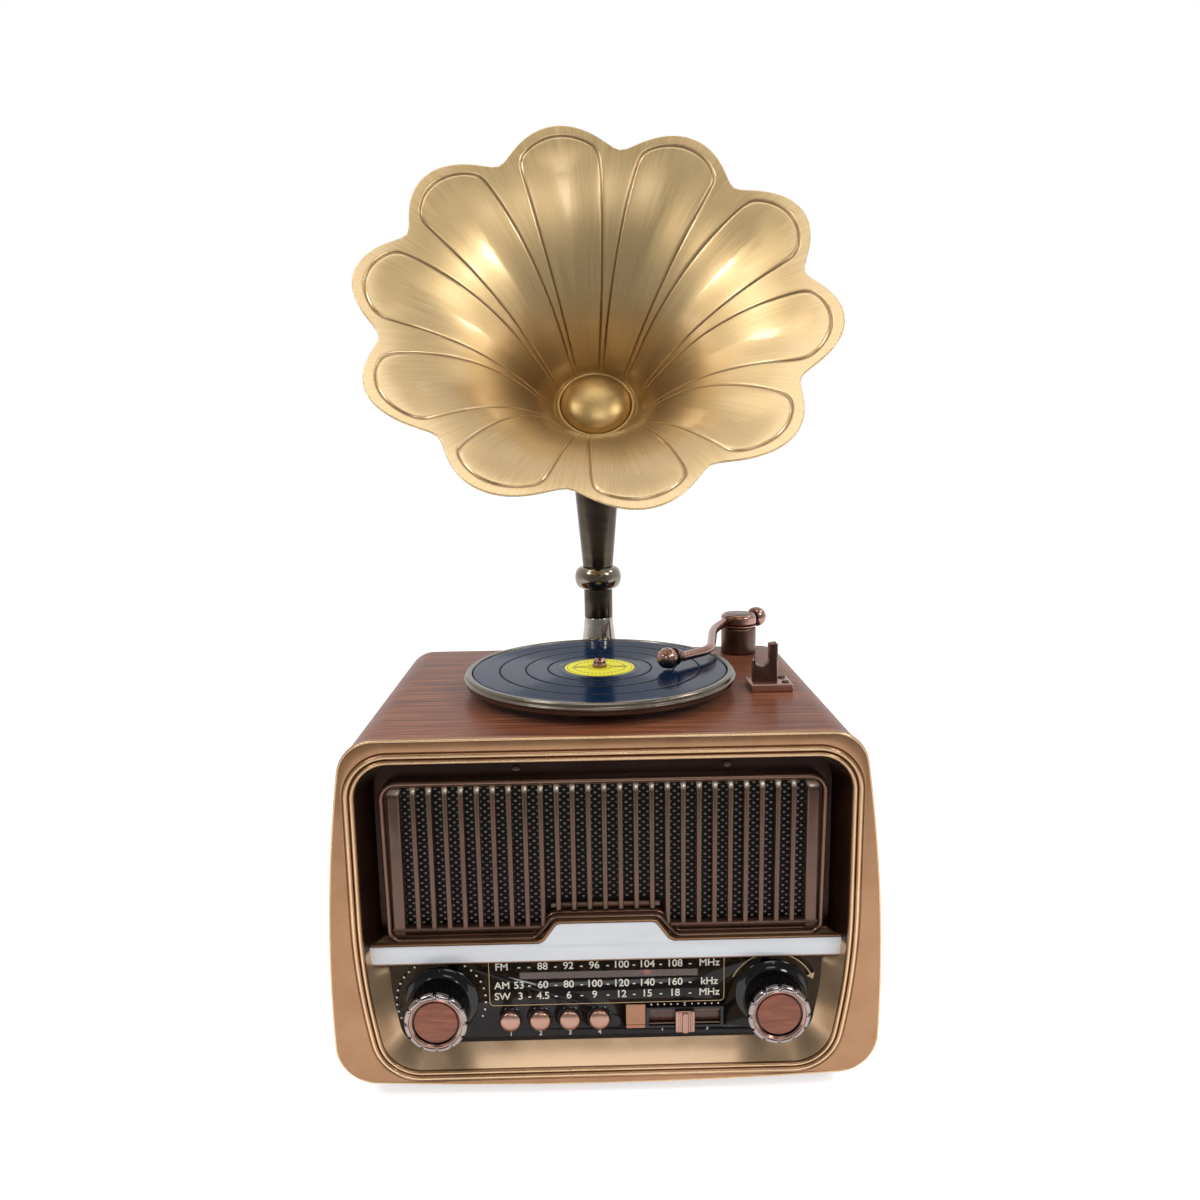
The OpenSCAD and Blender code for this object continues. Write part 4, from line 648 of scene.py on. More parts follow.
class RADIOGRAM_OT_bezel(bpy.types.Operator):
    """Bronze bezel: two beads round the opening, a plain band and a rolled outer edge"""
    bl_idname = "radiogram.bezel"
    bl_label = "Front bezel"

    def execute(self, context):
        h = context.scene.radiogram_sizes.bead
        inner = [(0.0, 8.0), (0.0, 1.2), (0.05, 0.5)]
        for mid, half in ((1.3, 1.1), (4.0, 1.25)):
            t = np.radians(np.linspace(180, 0, 13))
            inner += list(zip(mid + half * np.cos(t), 0.3 - (h + 0.3) * np.sin(t)))
            inner.append((mid + half + 0.15, 0.6))
        inner += [(5.6, 0.45), (5.9, 0.15), (6.4, 0.0)]
        t, r = np.radians(np.linspace(0, 90, 9)), 1.7
        outer = list(zip(r - r * np.sin(t), r - r * np.cos(t)))
        outer += [(0.0, 2.3), (1.6, 2.5), (1.6, 8.0)]
        rings = [lay(opening_outline(o), d) for o, d in inner]
        rings += [lay(cabinet_outline(i), d) for i, d in outer]
        piece("bezel_moulding", loft(rings, closed=True), "cabinet", bronze_lacquer(), ["front_bezel"],
              40)
        # Thin half-round lines lie on the crests of the two beads and of the outer edge, in a paler finish:
        # painted highlights
        t = np.radians(np.linspace(0, 180, 9))
        crest_highlights = []
        for mid, wide in ((1.3, 0.4), (4.0, 0.45)):
            bow = list(zip(mid - wide * np.cos(t), 0.1 - h - 0.22 * np.sin(t)))
            bow += [(mid + wide, 0.6 - h), (mid - wide, 0.6 - h)]
            crest_highlights.append(loft([lay(opening_outline(o), d) for o, d in bow], closed=True))
        t = np.radians(np.arange(0, 360, 36))
        edge = zip(0.8 - 0.5 * np.cos(t), 0.45 - 0.5 * np.sin(t))
        crest_highlights.append(loft([lay(cabinet_outline(i), d) for i, d in edge], closed=True))
        piece("bezel_crest_highlights", crest_highlights, "cabinet", crest_highlight_paint(), (), 40)
        return {"FINISHED"}


class RADIOGRAM_OT_recess(bpy.types.Operator):
    """Recess behind the bezel: scooped walls down to the grille plate and the panel plate"""
    bl_idname = "radiogram.recess"
    bl_label = "Recess"

    def execute(self, context):
        # The walls run 17 mm deep beside the grille and 13 mm beside the panel, blended at 65.5 mm up
        edge = opening_outline(0.0)
        low = 1 / (1 + np.exp((edge[:, 1] - 65.5) / 1.2))
        deep = 17.0 - 4.0 * low
        slope = 0.3 + 0.5 * low
        inward = offset(edge, -1.0) - edge
        rings = []
        for s in np.linspace(0, 1, 14):
            draw = slope * deep * (0.75 * s + 0.25 * s ** 3)
            rings.append(lay(inward * draw[:, None] + edge, 0.5 + (deep - 0.5) * s))
        last = rings[-1][:, [0, 2]]
        rear = [lay(offset(last, 1.2), deep), lay(edge * [1.003, 1], 6.0)]
        shells = [loft(rings + rear, closed=True)]
        upper, lower = last[last[:, 1] > 76], last[last[:, 1] < 74]
        for part, turn, depth in ((upper, np.arctan2(upper[:, 0], upper[:, 1] - 70), 17.0),
                                  (lower, np.arctan2(-lower[:, 0], 80 - lower[:, 1]), 13.0)):
            shells.append(plate(offset(part[np.argsort(turn)], 0.6), depth, depth + 1.5, 0.1))
        shells.append(block((-112, 13.0, 72.5), (112, 18.4, 75.0), 0.3))
        # Above 76 mm the recess finish turns dark brown: painted shade in the upper recess
        piece("recess_moulding", shells, "cabinet", recess_lacquer_shaded_above(), ["recess_liner"])
        for k, x in enumerate((-41.3, 58.7)):
            head = revolve([(0, 0.5), (1.0, 0.45), (1.7, 0.2), (2.0, -0.3), (2.0, -1.2), (0, -1.2)],
                           (x, 16.4, 160.8), TO_FRONT, 32)
            slot = block((x - 1.3, 15.85, 160.6), (x + 1.3, 16.2, 161.0), 0.1)
            piece("baffle_screw_%d" % (k + 1), [head, slot], "cabinet", dark_copper(), ())
        return {"FINISHED"}


def prism(profile, x0, x1):
    """A profile of (depth, height) carried along X."""
    flat = fillet(profile, 0.3, 4)
    return loft([np.column_stack([np.full(len(flat), x), flat]) for x in (x0, x1)], ends="face")


def louvre(x, half, z0, z1):
    """An upright bar: its face is half a superellipse across, and its top curves back in its last 5 mm."""
    t = np.radians(np.linspace(3, 90, 12))
    z = np.concatenate([[z0], z1 - 5 + 5 * np.sin(t)])
    crest = np.concatenate([[11.8], 11.8 + 3.6 * (1 - np.cos(t))])
    a = np.linspace(0, math.pi, 13)
    power, foot = 0.35, 15.9
    across = x - half * np.sign(np.cos(a)) * np.abs(np.cos(a)) ** power
    depth = foot - (foot - crest[:, None]) * np.sin(a)[None, :] ** power
    return loft(np.stack(np.broadcast_arrays(across[None, :], depth, z[:, None]), -1), ends="face")


class RADIOGRAM_OT_grille(bpy.types.Operator):
    """Grille: rounded frame, curled louvres, black mesh; bar tops and raised points have painted highlights
    """
    bl_idname = "radiogram.grille"
    bl_label = "Grille"

    def execute(self, context):
        w, top, base, hump = 106.2, 157.5, 75.3, 85.9
        pts = [(-w, top), (w, top), (w - 1.1, base), (33.4, base), (25.0, hump), (-25.0, hump),
               (-33.4, base), (1.1 - w, base)]
        outline = fillet(pts, [9, 9, 7, 6, 5, 5, 6, 7], 12)
        t = np.radians(np.linspace(5, 175, 12))
        bead = [(0.0, 17.0), (0.0, 12.3), *zip(1.2 - 1.2 * np.cos(t), 12.2 - 1.5 * np.sin(t))]
        t = t[::3]
        bead += [(2.5, 13.4), (2.7, 13.6), *zip(3.2 - 0.5 * np.cos(t), 13.4 - 0.6 * np.sin(t))]
        bead += [(3.8, 13.9), (3.8, 17.0)]
        piece("grille_surround", band(outline, [(-o, d) for o, d in bead]), "cabinet", brown_lacquer(),
              ["grille_frame"], 45)
        n = context.scene.radiogram_sizes.louvres
        xs = (np.arange(n) - (n - 1) / 2) * 195 / (n + 1)
        bars = [louvre(x, 1.32, 91.0 if abs(x) < 29 else 81.6, 154.4) for x in xs]
        bars += [louvre(s * 99.3, 3.2, 78.4, 153.0) for s in (-1, 1)]
        sill = [(16.8, 83.2), (12.2, 83.2), (11.2, 82.6), (11.4, 81.7), (14.2, 79.0), (14.2, 77.9),
                (16.8, 77.9)]
        bars += [prism(sill, -102.3, -31.5), prism(sill, 31.5, 102.3),
                 block((-26.5, 14.4, 90.6), (26.5, 16.9, 93.4), 0.5)]
        # Above 151.2 mm the bars' finish is cream: a painted highlight on their curled tops
        piece("louvres", bars, "cabinet", bar_lacquer_painted_highlight(), ["louvre_panel"], 50)
        sheet = 16.0
        piece("mesh_sheet", plate(offset(outline, -3.4), sheet, 16.9, 0.1), "cabinet", black_mesh_and_painted_gaps(),
              ["grille_mesh"])
        # Raised strands every 2.1 mm across and 3.4 mm up, every other column half a step higher
        across, up = 2.1, 3.4
        gx, gz = np.meshgrid(np.arange(-96.6, 97, across), np.arange(84, 154, up))
        gz = gz + (np.arange(gx.shape[1]) % 2)[None, :] * up / 2
        seen = (gz < 153.6) & ((np.abs(gx) > 31) | (gz > 94.4))
        spots = np.stack([gx[seen], np.full(np.sum(seen), sheet), gz[seen]], 1)
        # One strand is a flat mound: two rings of eight points and a tip
        sides = 8
        t = np.arange(sides) * 2 * math.pi / sides
        foot = np.stack([0.9 * np.cos(t), 0 * t, 0.6 * np.sin(t)], 1)
        mound = np.vstack([foot, foot * 0.6 - [0, 0.4, 0], [[0, -0.5, 0]]])
        j = np.arange(sides)
        k = (j + 1) % sides
        first = len(mound) * np.arange(len(spots))[:, None, None]
        quads = (first + np.stack([j, k, sides + k, sides + j], 1)).reshape(-1, 4)
        tips = (first + np.stack([sides + j, sides + k, 2 * sides + 0 * j], 1)).reshape(-1, 3)
        verts = (mound[None] + spots[:, None]).reshape(-1, 3)
        # The mounds are real raised strands; their pale colour is a painted glint
        piece("mesh_glint_points", (verts, [quads, tips], None), "cabinet", mesh_glints(), (), 80)
        return {"FINISHED"}


class RADIOGRAM_OT_trim(bpy.types.Operator):
    """Silver trim bar with its raised centre and a bronze ledge along its top"""
    bl_idname = "radiogram.trim"
    bl_label = "Trim bar"

    def execute(self, context):
        def bar(grow, end, low, high):
            """The bar's outline with its raised centre, from -end to end and from low to high."""
            foot, peak, z = 30.6 + 1.1 * grow, 23.4 + 0.9 * grow, 87.2 + grow
            points = [(-end, low), (-end, high), (-foot, high), (-peak, z), (peak, z), (foot, high),
                      (end, high), (end, low)]
            return fillet(points, [0.5, 0.5, 5, 4.5, 4.5, 5, 0.5, 0.5], 10)

        piece("trim_face", plate(bar(0, 113.3, 68.5, 77.2), 5.2, 9.6, 0.5), "cabinet", silver_paint(),
              ["trim_bar"])
        piece("trim_ledge", plate(bar(0.9, 113.6, 68.0, 78.0), 5.9, 8.6, 0.6), "cabinet", bronze_lacquer(),
              ())
        piece("trim_shadow_line", plate(bar(0.3, 113.5, 68.1, 77.5), 5.7, 8.6, 0.15), "cabinet",
              dark_copper(), ())
        lip = [(5.7, 68.6), (5.7, 68.0), (6.1, 67.6), (9.6, 67.6), (9.6, 68.6)]
        piece("trim_under_lip", prism(lip, -113.3, 113.3), "cabinet", bronze_lacquer(), ())
        return {"FINISHED"}


# Controls
def figures(name, items, ink, depth):
    """Printed figures on the panel: each (text, x, z, height) is made a thin flat mesh at a depth."""
    capital, thick, swell = 1 / 1.45, 0.03, 0.02
    shells = []
    for text, x, z, size in items:
        curve = bpy.data.curves.new("figure", "FONT")
        curve.body, curve.align_x, curve.align_y, curve.size = text, "CENTER", "CENTER", size / capital
        curve.extrude, curve.offset = thick, swell * size
        obj = bpy.data.objects.new("figure", curve)
        bpy.context.scene.collection.objects.link(obj)
        mesh = bpy.data.meshes.new_from_object(obj)
        flat = np.zeros(len(mesh.vertices) * 3)
        mesh.vertices.foreach_get("co", flat)
        across, up, out = flat.reshape(-1, 3).T
        faces = [np.array([p.vertices]) for p in mesh.polygons]
        shells.append((np.stack([across + x, depth - out, up + z], 1), faces, None))
        bpy.data.objects.remove(obj)
        bpy.data.curves.remove(curve)
        bpy.data.meshes.remove(mesh)
    return piece(name, shells, "cabinet", ink, ())


def wire(outline, half, depth, height=0.12):
    """A thin raised line that follows a closed outline."""
    profile = ((half, depth), (half, depth - height), (-half, depth - height), (-half, depth))
    return band(outline, profile)


class RADIOGRAM_OT_panel(bpy.types.Operator):
    """Gloss panel with its dial box, scales, printed marks and the smoked pointer strip"""
    bl_idname = "radiogram.panel"
    bl_label = "Control panel"

    def execute(self, context):
        outline = fillet([(-104.5, 74.3), (104.5, 74.3), (104.5, 23.3), (-104.5, 23.3)],
                         [0.5, 0.5, 12, 12], 12)
        face = piece("panel_face", plate(outline, PANEL, 13.0, 0.7), "cabinet", panel_acrylic(),
                     ["control_panel"])
        wide, high = 17.5, 4.2
        cut_out(face, [block((-42.25, 8, 56.15), (44.25, 14, 59.85), 0.02),
                       block((SELECTOR_X - wide, 8, SELECTOR_Z - high),
                             (SELECTOR_X + wide, 14, SELECTOR_Z + high), 0.02)])
        piece("pointer_strip", block((-42.4, 10.15, 56.0), (44.4, 11.1, 60.0), 0.1), "cabinet",
              smoked_lens(), ["dial_lens"])
        box = fillet([(-57, 73.5), (57, 73.5), (57, 42.7), (-57, 42.7)], [0.3, 0.3, 2, 2], 8)
        piece("gold_lines", [wire(box, 0.16, PANEL + 0.02)], "cabinet", gold_ink(), ())
        top, mid, low, tall = 62.9, 53.1, 47.3, 3.6
        rows = [(t, x, z, tall) for t, x, z in (("FM", -50.8, top), ("AM", -50.8, mid), ("SW", -50.8, low),
                                                ("MHz", 49.8, top), ("kHz", 49.8, mid), ("MHz", 49.8, low))]
        xs = np.array([-31, -18.5, -6, 7, 19.5, 33])
        for z, marks in ((top, ("88", "92", "96", "100", "104", "108")),
                         (mid, ("60", "80", "100", "120", "140", "160")),
                         (low, ("4.5", "6", "9", "12", "15", "18"))):
            rows += [(m, x, z, tall) for m, x in zip(marks, xs)]
            rows += [("-", x, z, 3.4) for x in list((xs[1:] + xs[:-1]) / 2) + [-37.6, 40.5]]
        rows += [("53", -42.6, mid, tall), ("3", -42.0, low, tall), ("-", -42.4, top, 3.4)]
        rows += [(str(k + 1), BUTTON_X + BUTTON_STEP * k, 27.3, 2.3) for k in range(4)]
        rows += [("1", 26.9, 28.0, 2.0), ("2", SELECTOR_X, 41.2, 1.6), ("3", 48.9, 28.0, 2.0)]
        figures("dial_figures", rows, print_ink(), 9.96)
        dots = [revolve([(0, 0.06), (0.3, 0.05), (0.42, 0), (0, -0.1)], (x, 9.98, 41.2), TO_FRONT, 10)
                for x in np.concatenate([np.linspace(21.5, 34.4, 5), np.linspace(41.4, 54.3, 5)])]
        for a in np.radians(np.concatenate([np.linspace(-24, 56, 9), np.linspace(124, 214, 10)])):
            at = (-KNOB_X + 21.6 * math.cos(a), 9.98, KNOB_Z + 21.6 * math.sin(a))
            dots.append(revolve([(0, 0.06), (0.4, 0.05), (0.55, 0), (0, -0.1)], at, TO_FRONT, 10))
        piece("scale_dots", dots, "cabinet", print_ink(), ())
        sweep = np.vstack([arc(KNOB_X, KNOB_Z, 21.3, 155, 27, 40), arc(KNOB_X, KNOB_Z, 20.7, 27, 155, 40)])
        end = math.radians(27)
        corners = ((23.2, end), (19, end), (21.1, end - 0.14))
        arrow = [(KNOB_X + r * math.cos(a), KNOB_Z + r * math.sin(a)) for r, a in corners]
        piece("turn_arrow", [plate(flat, 9.94, PANEL + 0.02, 0.01, 1) for flat in (sweep, arrow)],
              "cabinet", gold_ink(), ())
        return {"FINISHED"}


def knob_pieces(side, prefix, body):
    """A knob from its skirt to its copper insert, on an axis at side * KNOB_X that points to the front."""
    centre, grip_end, top = (side * KNOB_X, 9.7, KNOB_Z), 14.7, 18.7

    def turned(part, profile, n, finish_, slot, stands_for=(), wave=None, crease=32):
        """A part of the knob, turned about its axis."""
        piece(prefix + part, revolve(profile, centre, TO_FRONT, n, wave), body, finish_, stands_for,
              crease)

    def flute(a, r, h):
        """Rounded flutes that fade out at both ends of the grip."""
        fade = np.clip((h - 3.2) / 1.5, 0, 1) * np.clip((grip_end + 0.4 - h) / 1.2, 0, 1)
        return r - 0.55 * fade * (0.5 - 0.5 * np.cos(24 * a)) ** 2

    def scallop(a, r, h):
        """Twelve short notches in the ring's edge."""
        notch = np.clip((np.cos(12 * a) - 0.72) / 0.28, 0, 1)
        return r - 1.1 * notch * np.clip((r - 12.4) / 1.2, 0, 1)

    skirt = [(0, 0), (17.6, 0), (18.1, 0.4), (18.1, 0.9), (17.7, 1.4), (16.4, 1.9), (15.2, 2.3),
             (14.6, 2.9), (14.2, 3.3), (0, 3.3)]
    turned("_skirt", skirt, 128, black_gloss(), "knob_black")
    grip = [(0, 2.6), (13.6, 2.6)]
    grip += [(14.1 - 0.9 * t, 3.2 + (grip_end - 3.4) * t) for t in np.linspace(0, 1, 9)] + [(0, grip_end)]
    turned("_grip", grip, 288, black_gloss(), "knob_black", (prefix,), flute, 50)
    low = grip_end - 0.2
    ring = [(13.2, low), (13.9, low + 0.1), (14.7, low + 0.8), (14.9, low + 1.6), (14.9, top - 1.5),
            (14.5, top - 0.6), (13.7, top - 0.1), (13.1, top), (12.7, top - 0.2), (12.6, top - 0.7),
            (12.5, low)]
    turned("_chrome", ring, 288, chrome(), "knob_chrome", (prefix + "_ring",), scallop, 50)
    lip = [(12.7, top - 2.2), (12.7, top - 0.4), (12.3, top - 0.1), (11.9, top - 0.15), (11.1, top - 0.9),
           (11.0, top - 2.2)]
    turned("_lip", lip, 96, antique_copper(), "copper")
    well = [(0, top - 2.0), (11.2, top - 2.0), (11.2, top - 2.4), (0, top - 2.4)]
    turned("_well", well, 64, black_gloss(), "knob_black")
    disc = [(0, top - 1.05), (4, top - 1.07), (9.4, top - 1.15), (10.1, top - 1.3), (10.45, top - 1.7),
            (10.45, top - 2.1), (0, top - 2.1)]
    turned("_disc", disc, 96, spun_copper(), "copper", (prefix + "_insert",))
    mark = revolve([(0, 0.3), (0.5, 0.25), (0.75, 0), (0, -0.2)], (side * KNOB_X, 8.2, KNOB_Z + 16.4),
                   TO_FRONT, 16)
    piece(prefix + "_mark", mark, body, print_ink(), ())


class RADIOGRAM_OT_knobs(bpy.types.Operator):
    """Two knobs: skirt, fluted grip, notched chrome ring and brushed copper disc"""
    bl_idname = "radiogram.knobs"
    bl_label = "Knobs"

    def execute(self, context):
        knob_pieces(-1, "volume_knob", "volume")
        knob_pieces(1, "tuning_knob", "tuning")
        return {"FINISHED"}


class RADIOGRAM_OT_buttons(bpy.types.Operator):
    """Push buttons, selector and mode window"""
    bl_idname = "radiogram.buttons"
    bl_label = "Buttons and selector"

    def execute(self, context):
        a = np.radians(np.linspace(0, 84, 12))
        dome = [(0, 0)] + [(5.0 * math.sin(t), 1.9 * math.cos(t) - 1.9) for t in a[1:]]
        dome += [(5.0, -1.9), (5.0, -5.3), (2.2, -5.3), (2.2, -12.9), (0, -12.9)]
        collar = [(5.25, -0.5), (5.25, 0.3), (5.6, 0.5), (6.0, 0.3), (6.3, -0.1), (6.3, -0.5)]
        for k in range(4):
            x = BUTTON_X + BUTTON_STEP * k
            piece("button_cap_%d" % (k + 1), revolve(dome, (x, 6.0, BUTTON_Z), TO_FRONT, 64),
                  "push_%d" % (k + 1), pale_copper(), ["button_%d" % (k + 1)])
            piece("button_ring_%d" % (k + 1), revolve(collar, (x, PANEL, BUTTON_Z), TO_FRONT, 64),
                  "cabinet", black_gloss(), ())
        x, z = SELECTOR_X, SELECTOR_Z
        outer = fillet([(x - 18.4, z + 5.1), (x + 18.4, z + 5.1), (x + 18.4, z - 5.1),
                        (x - 18.4, z - 5.1)], 0.7, 5)
        edge = [(0, 10.0), (-0.1, 9.6), (-0.7, 9.5), (-0.9, 9.7), (-0.9, 12.6)]
        piece("selector_frame", band(outer, edge), "cabinet", antique_copper(), ())
        well = block((x - 17.6, 12.2, z - 4.4), (x + 17.6, 12.9, z + 4.4), 0.1)
        piece("selector_well", well, "cabinet", tile_brown(), ())
        rails = [block((x - 17.4, 10.2, z + low), (x + 17.4, 12.4, z + low + 1.1), 0.2)
                 for low in (3.0, -4.1)]
        piece("selector_rails", rails, "cabinet", dark_copper(), ())
        grip = [block((x - 4.8, 7.2, z - 6.9), (x + 4.8, 9.1, z + 4.5), 0.6),
                block((x - 1.6, 5.85, z - 6.6), (x + 1.6, 8.0, z + 4.2), 0.7)]
        grip += [block((x + s * 2.9 - 0.45, 6.7, z - 6.3), (x + s * 2.9 + 0.45, 7.6, z + 3.9), 0.3)
                 for s in (-1, 1)]
        piece("selector_grip", grip, "selector", antique_copper(), ["selector_slider"])
        tile = [block((9.1, 9.2, 31.0), (18.6, 10.0, 41.7), 0.35),
                block((9.1, 8.8, 29.4), (18.6, 10.0, 30.9), 0.4)]
        piece("mode_tile", tile, "cabinet", beige_moulding(), ["mode_window"])
        piece("pointer_blade", block((POINTER_X - 1.3, 11.3, 56.4), (POINTER_X + 1.3, 17.6, 59.6), 0.2),
              "pointer", pointer_glow(), ())
        return {"FINISHED"}


# Turntable
PLATTER_AT = (0.0, 87.7, 0.0)
DECK = 180.7
RECORD_TOP = 191.7


def ring_of(r0, r1, z0, z1, n):
    """A flat ring on the platter's axis, between two radii and two heights."""
    return revolve([(r0, z0), (r0, z1), (r1, z1), (r1, z0)], PLATTER_AT, n=n)


class RADIOGRAM_OT_turntable(bpy.types.Operator):
    """Platter with its stepped rim, grooved record, label and spindle cap"""
    bl_idname = "radiogram.turntable"
    bl_label = "Turntable"

    def execute(self, context):
        rim = fillet([(9, 183.0), (9.6, 186.8), (66, 186.8), (67.5, 185.7), (71.4, 185.7), (72.0, 186.3),
                      (72.0, 188.0), (72.85, 188.5), (72.85, 189.3), (72.0, 189.8), (71.8, 190.4),
                      (71.8, 191.3), (71.0, 192.05), (69.0, 192.0), (68.6, 191.3), (68.5, 189.6),
                      (9, 189.6)], 0.35, 4)
        piece("platter_rim", revolve(rim, PLATTER_AT, n=240), "turntable", nickel(), ["platter"],
              crease=50)
        # Grooves of 0.1 mm, with three smooth gaps between the tracks that lie a little lower
        edge, foot, top = 68.2, 189.9, RECORD_TOP
        r = np.linspace(22.5, 66.0, 160)
        bands = np.array([0.41, 0.585, 0.79]) * edge
        smooth = np.clip(1.4 - np.min(np.abs(r[:, None] - bands[None]), axis=1), 0, 1)
        ripple = np.where(np.arange(len(r)) % 2 == 0, 1, -1)
        z = top - 0.12 + 0.05 * ripple * (1 - smooth) - 0.1 * smooth
        disc = [(edge, foot), (edge, 191.2), (67.8, 191.65), (67.0, 191.68), *zip(r[::-1], z[::-1]),
                (21.5, top - 0.02), (19.2, top), (18.9, top - 0.1), (3.1, top - 0.1), (3.1, foot)]
        piece("record_disc", revolve(disc, PLATTER_AT, n=240), "turntable", pressed_vinyl(), ["record"],
              crease=80)
        # Thin black rings lie over the smooth gaps: painted dark reflection
        gaps = [ring_of(q - 0.55, q + 0.55, top - 0.25, top - 0.1, 240) for q in bands]
        piece("record_gaps_painted_dark", gaps, "turntable", black_mesh_and_painted_gaps(), ())
        label = [(3.1, top - 0.1), (3.1, top + 0.14), (3.4, top + 0.18), (18.5, top + 0.18),
                 (18.8, top + 0.1), (18.8, top - 0.1)]
        piece("label_disc", revolve(label, PLATTER_AT, n=128), "turntable", label_card(), ["record_label"])
        # Two printed rings, a circle of dots that is broken at both sides, and two lines at each side
        marks = [ring_of(q, q + w, top + 0.16, top + 0.21, 96) for q, w in ((6.2, 0.35), (17.4, 0.25))]
        for t in np.radians(np.arange(0, 360, 9)):
            if 8 < math.degrees(t) % 180 < 172:
                at = (13.8 * math.cos(t), PLATTER_AT[1] + 13.8 * math.sin(t), top + 0.18)
                marks.append(revolve([(0, 0.05), (0.5, 0.04), (0.6, 0), (0, -0.05)], at, n=8))
        for s in (-1, 1):
            for mid, half, d0, d1 in ((11.0, 4.2, 87.0, 88.2), (10.5, 3.0, 89.4, 89.9)):
                marks.append(block((s * mid - half, d0, top + 0.15),
                                   (s * mid + half, d1, top + 0.22), 0.03))
        piece("label_marks", marks, "turntable", label_ink(), ())
        cap = fillet([(0, 192.0), (4.0, 191.9), (4.0, 193.6), (3.4, 194.1), (3.3, 195.6), (2.2, 196.8),
                      (0, 196.95)], [0, 0.4, 0.5, 0.4, 1.2, 1.2, 0], 6, closed=False)
        cap[0, 0] = cap[-1, 0] = 0
        piece("spindle_button", revolve(cap, PLATTER_AT, n=64), "turntable", antique_copper(),
              ["spindle_cap"])
        return {"FINISHED"}


# Tonearm
ARM_AT = np.array([88.0, 165.0, 0.0])
ARM_Z = 201.1
ARM_SINK = 4.4
ARM_TURN = math.atan2(6.6, 11)
ARM_BACK = np.array([math.cos(ARM_TURN), math.sin(ARM_TURN), 0])


def arm_path():
    """Centre line of the arm: straight runs joined by parabolic bends, from the pedestal's axis."""
    way = np.array([-6.2 * ARM_BACK, -11 * ARM_BACK, [-19.2, -24.5, -0.8], [-25.6, -61.5, -ARM_SINK],
                    [-45, -79, -ARM_SINK]])
    t = np.linspace(0, 1, 12, endpoint=False)[:, None]
    parts = [way[:1]]
    for k in range(1, len(way) - 1):
        legs = (way[j] - way[k] for j in (k - 1, k + 1))
        a, c = (way[k] + leg * min(0.5, 9 / np.linalg.norm(leg)) for leg in legs)
        parts.append((1 - t) ** 2 * a + 2 * t * (1 - t) * way[k] + t ** 2 * c)
    parts.append(way[-1:])
    return np.vstack(parts)


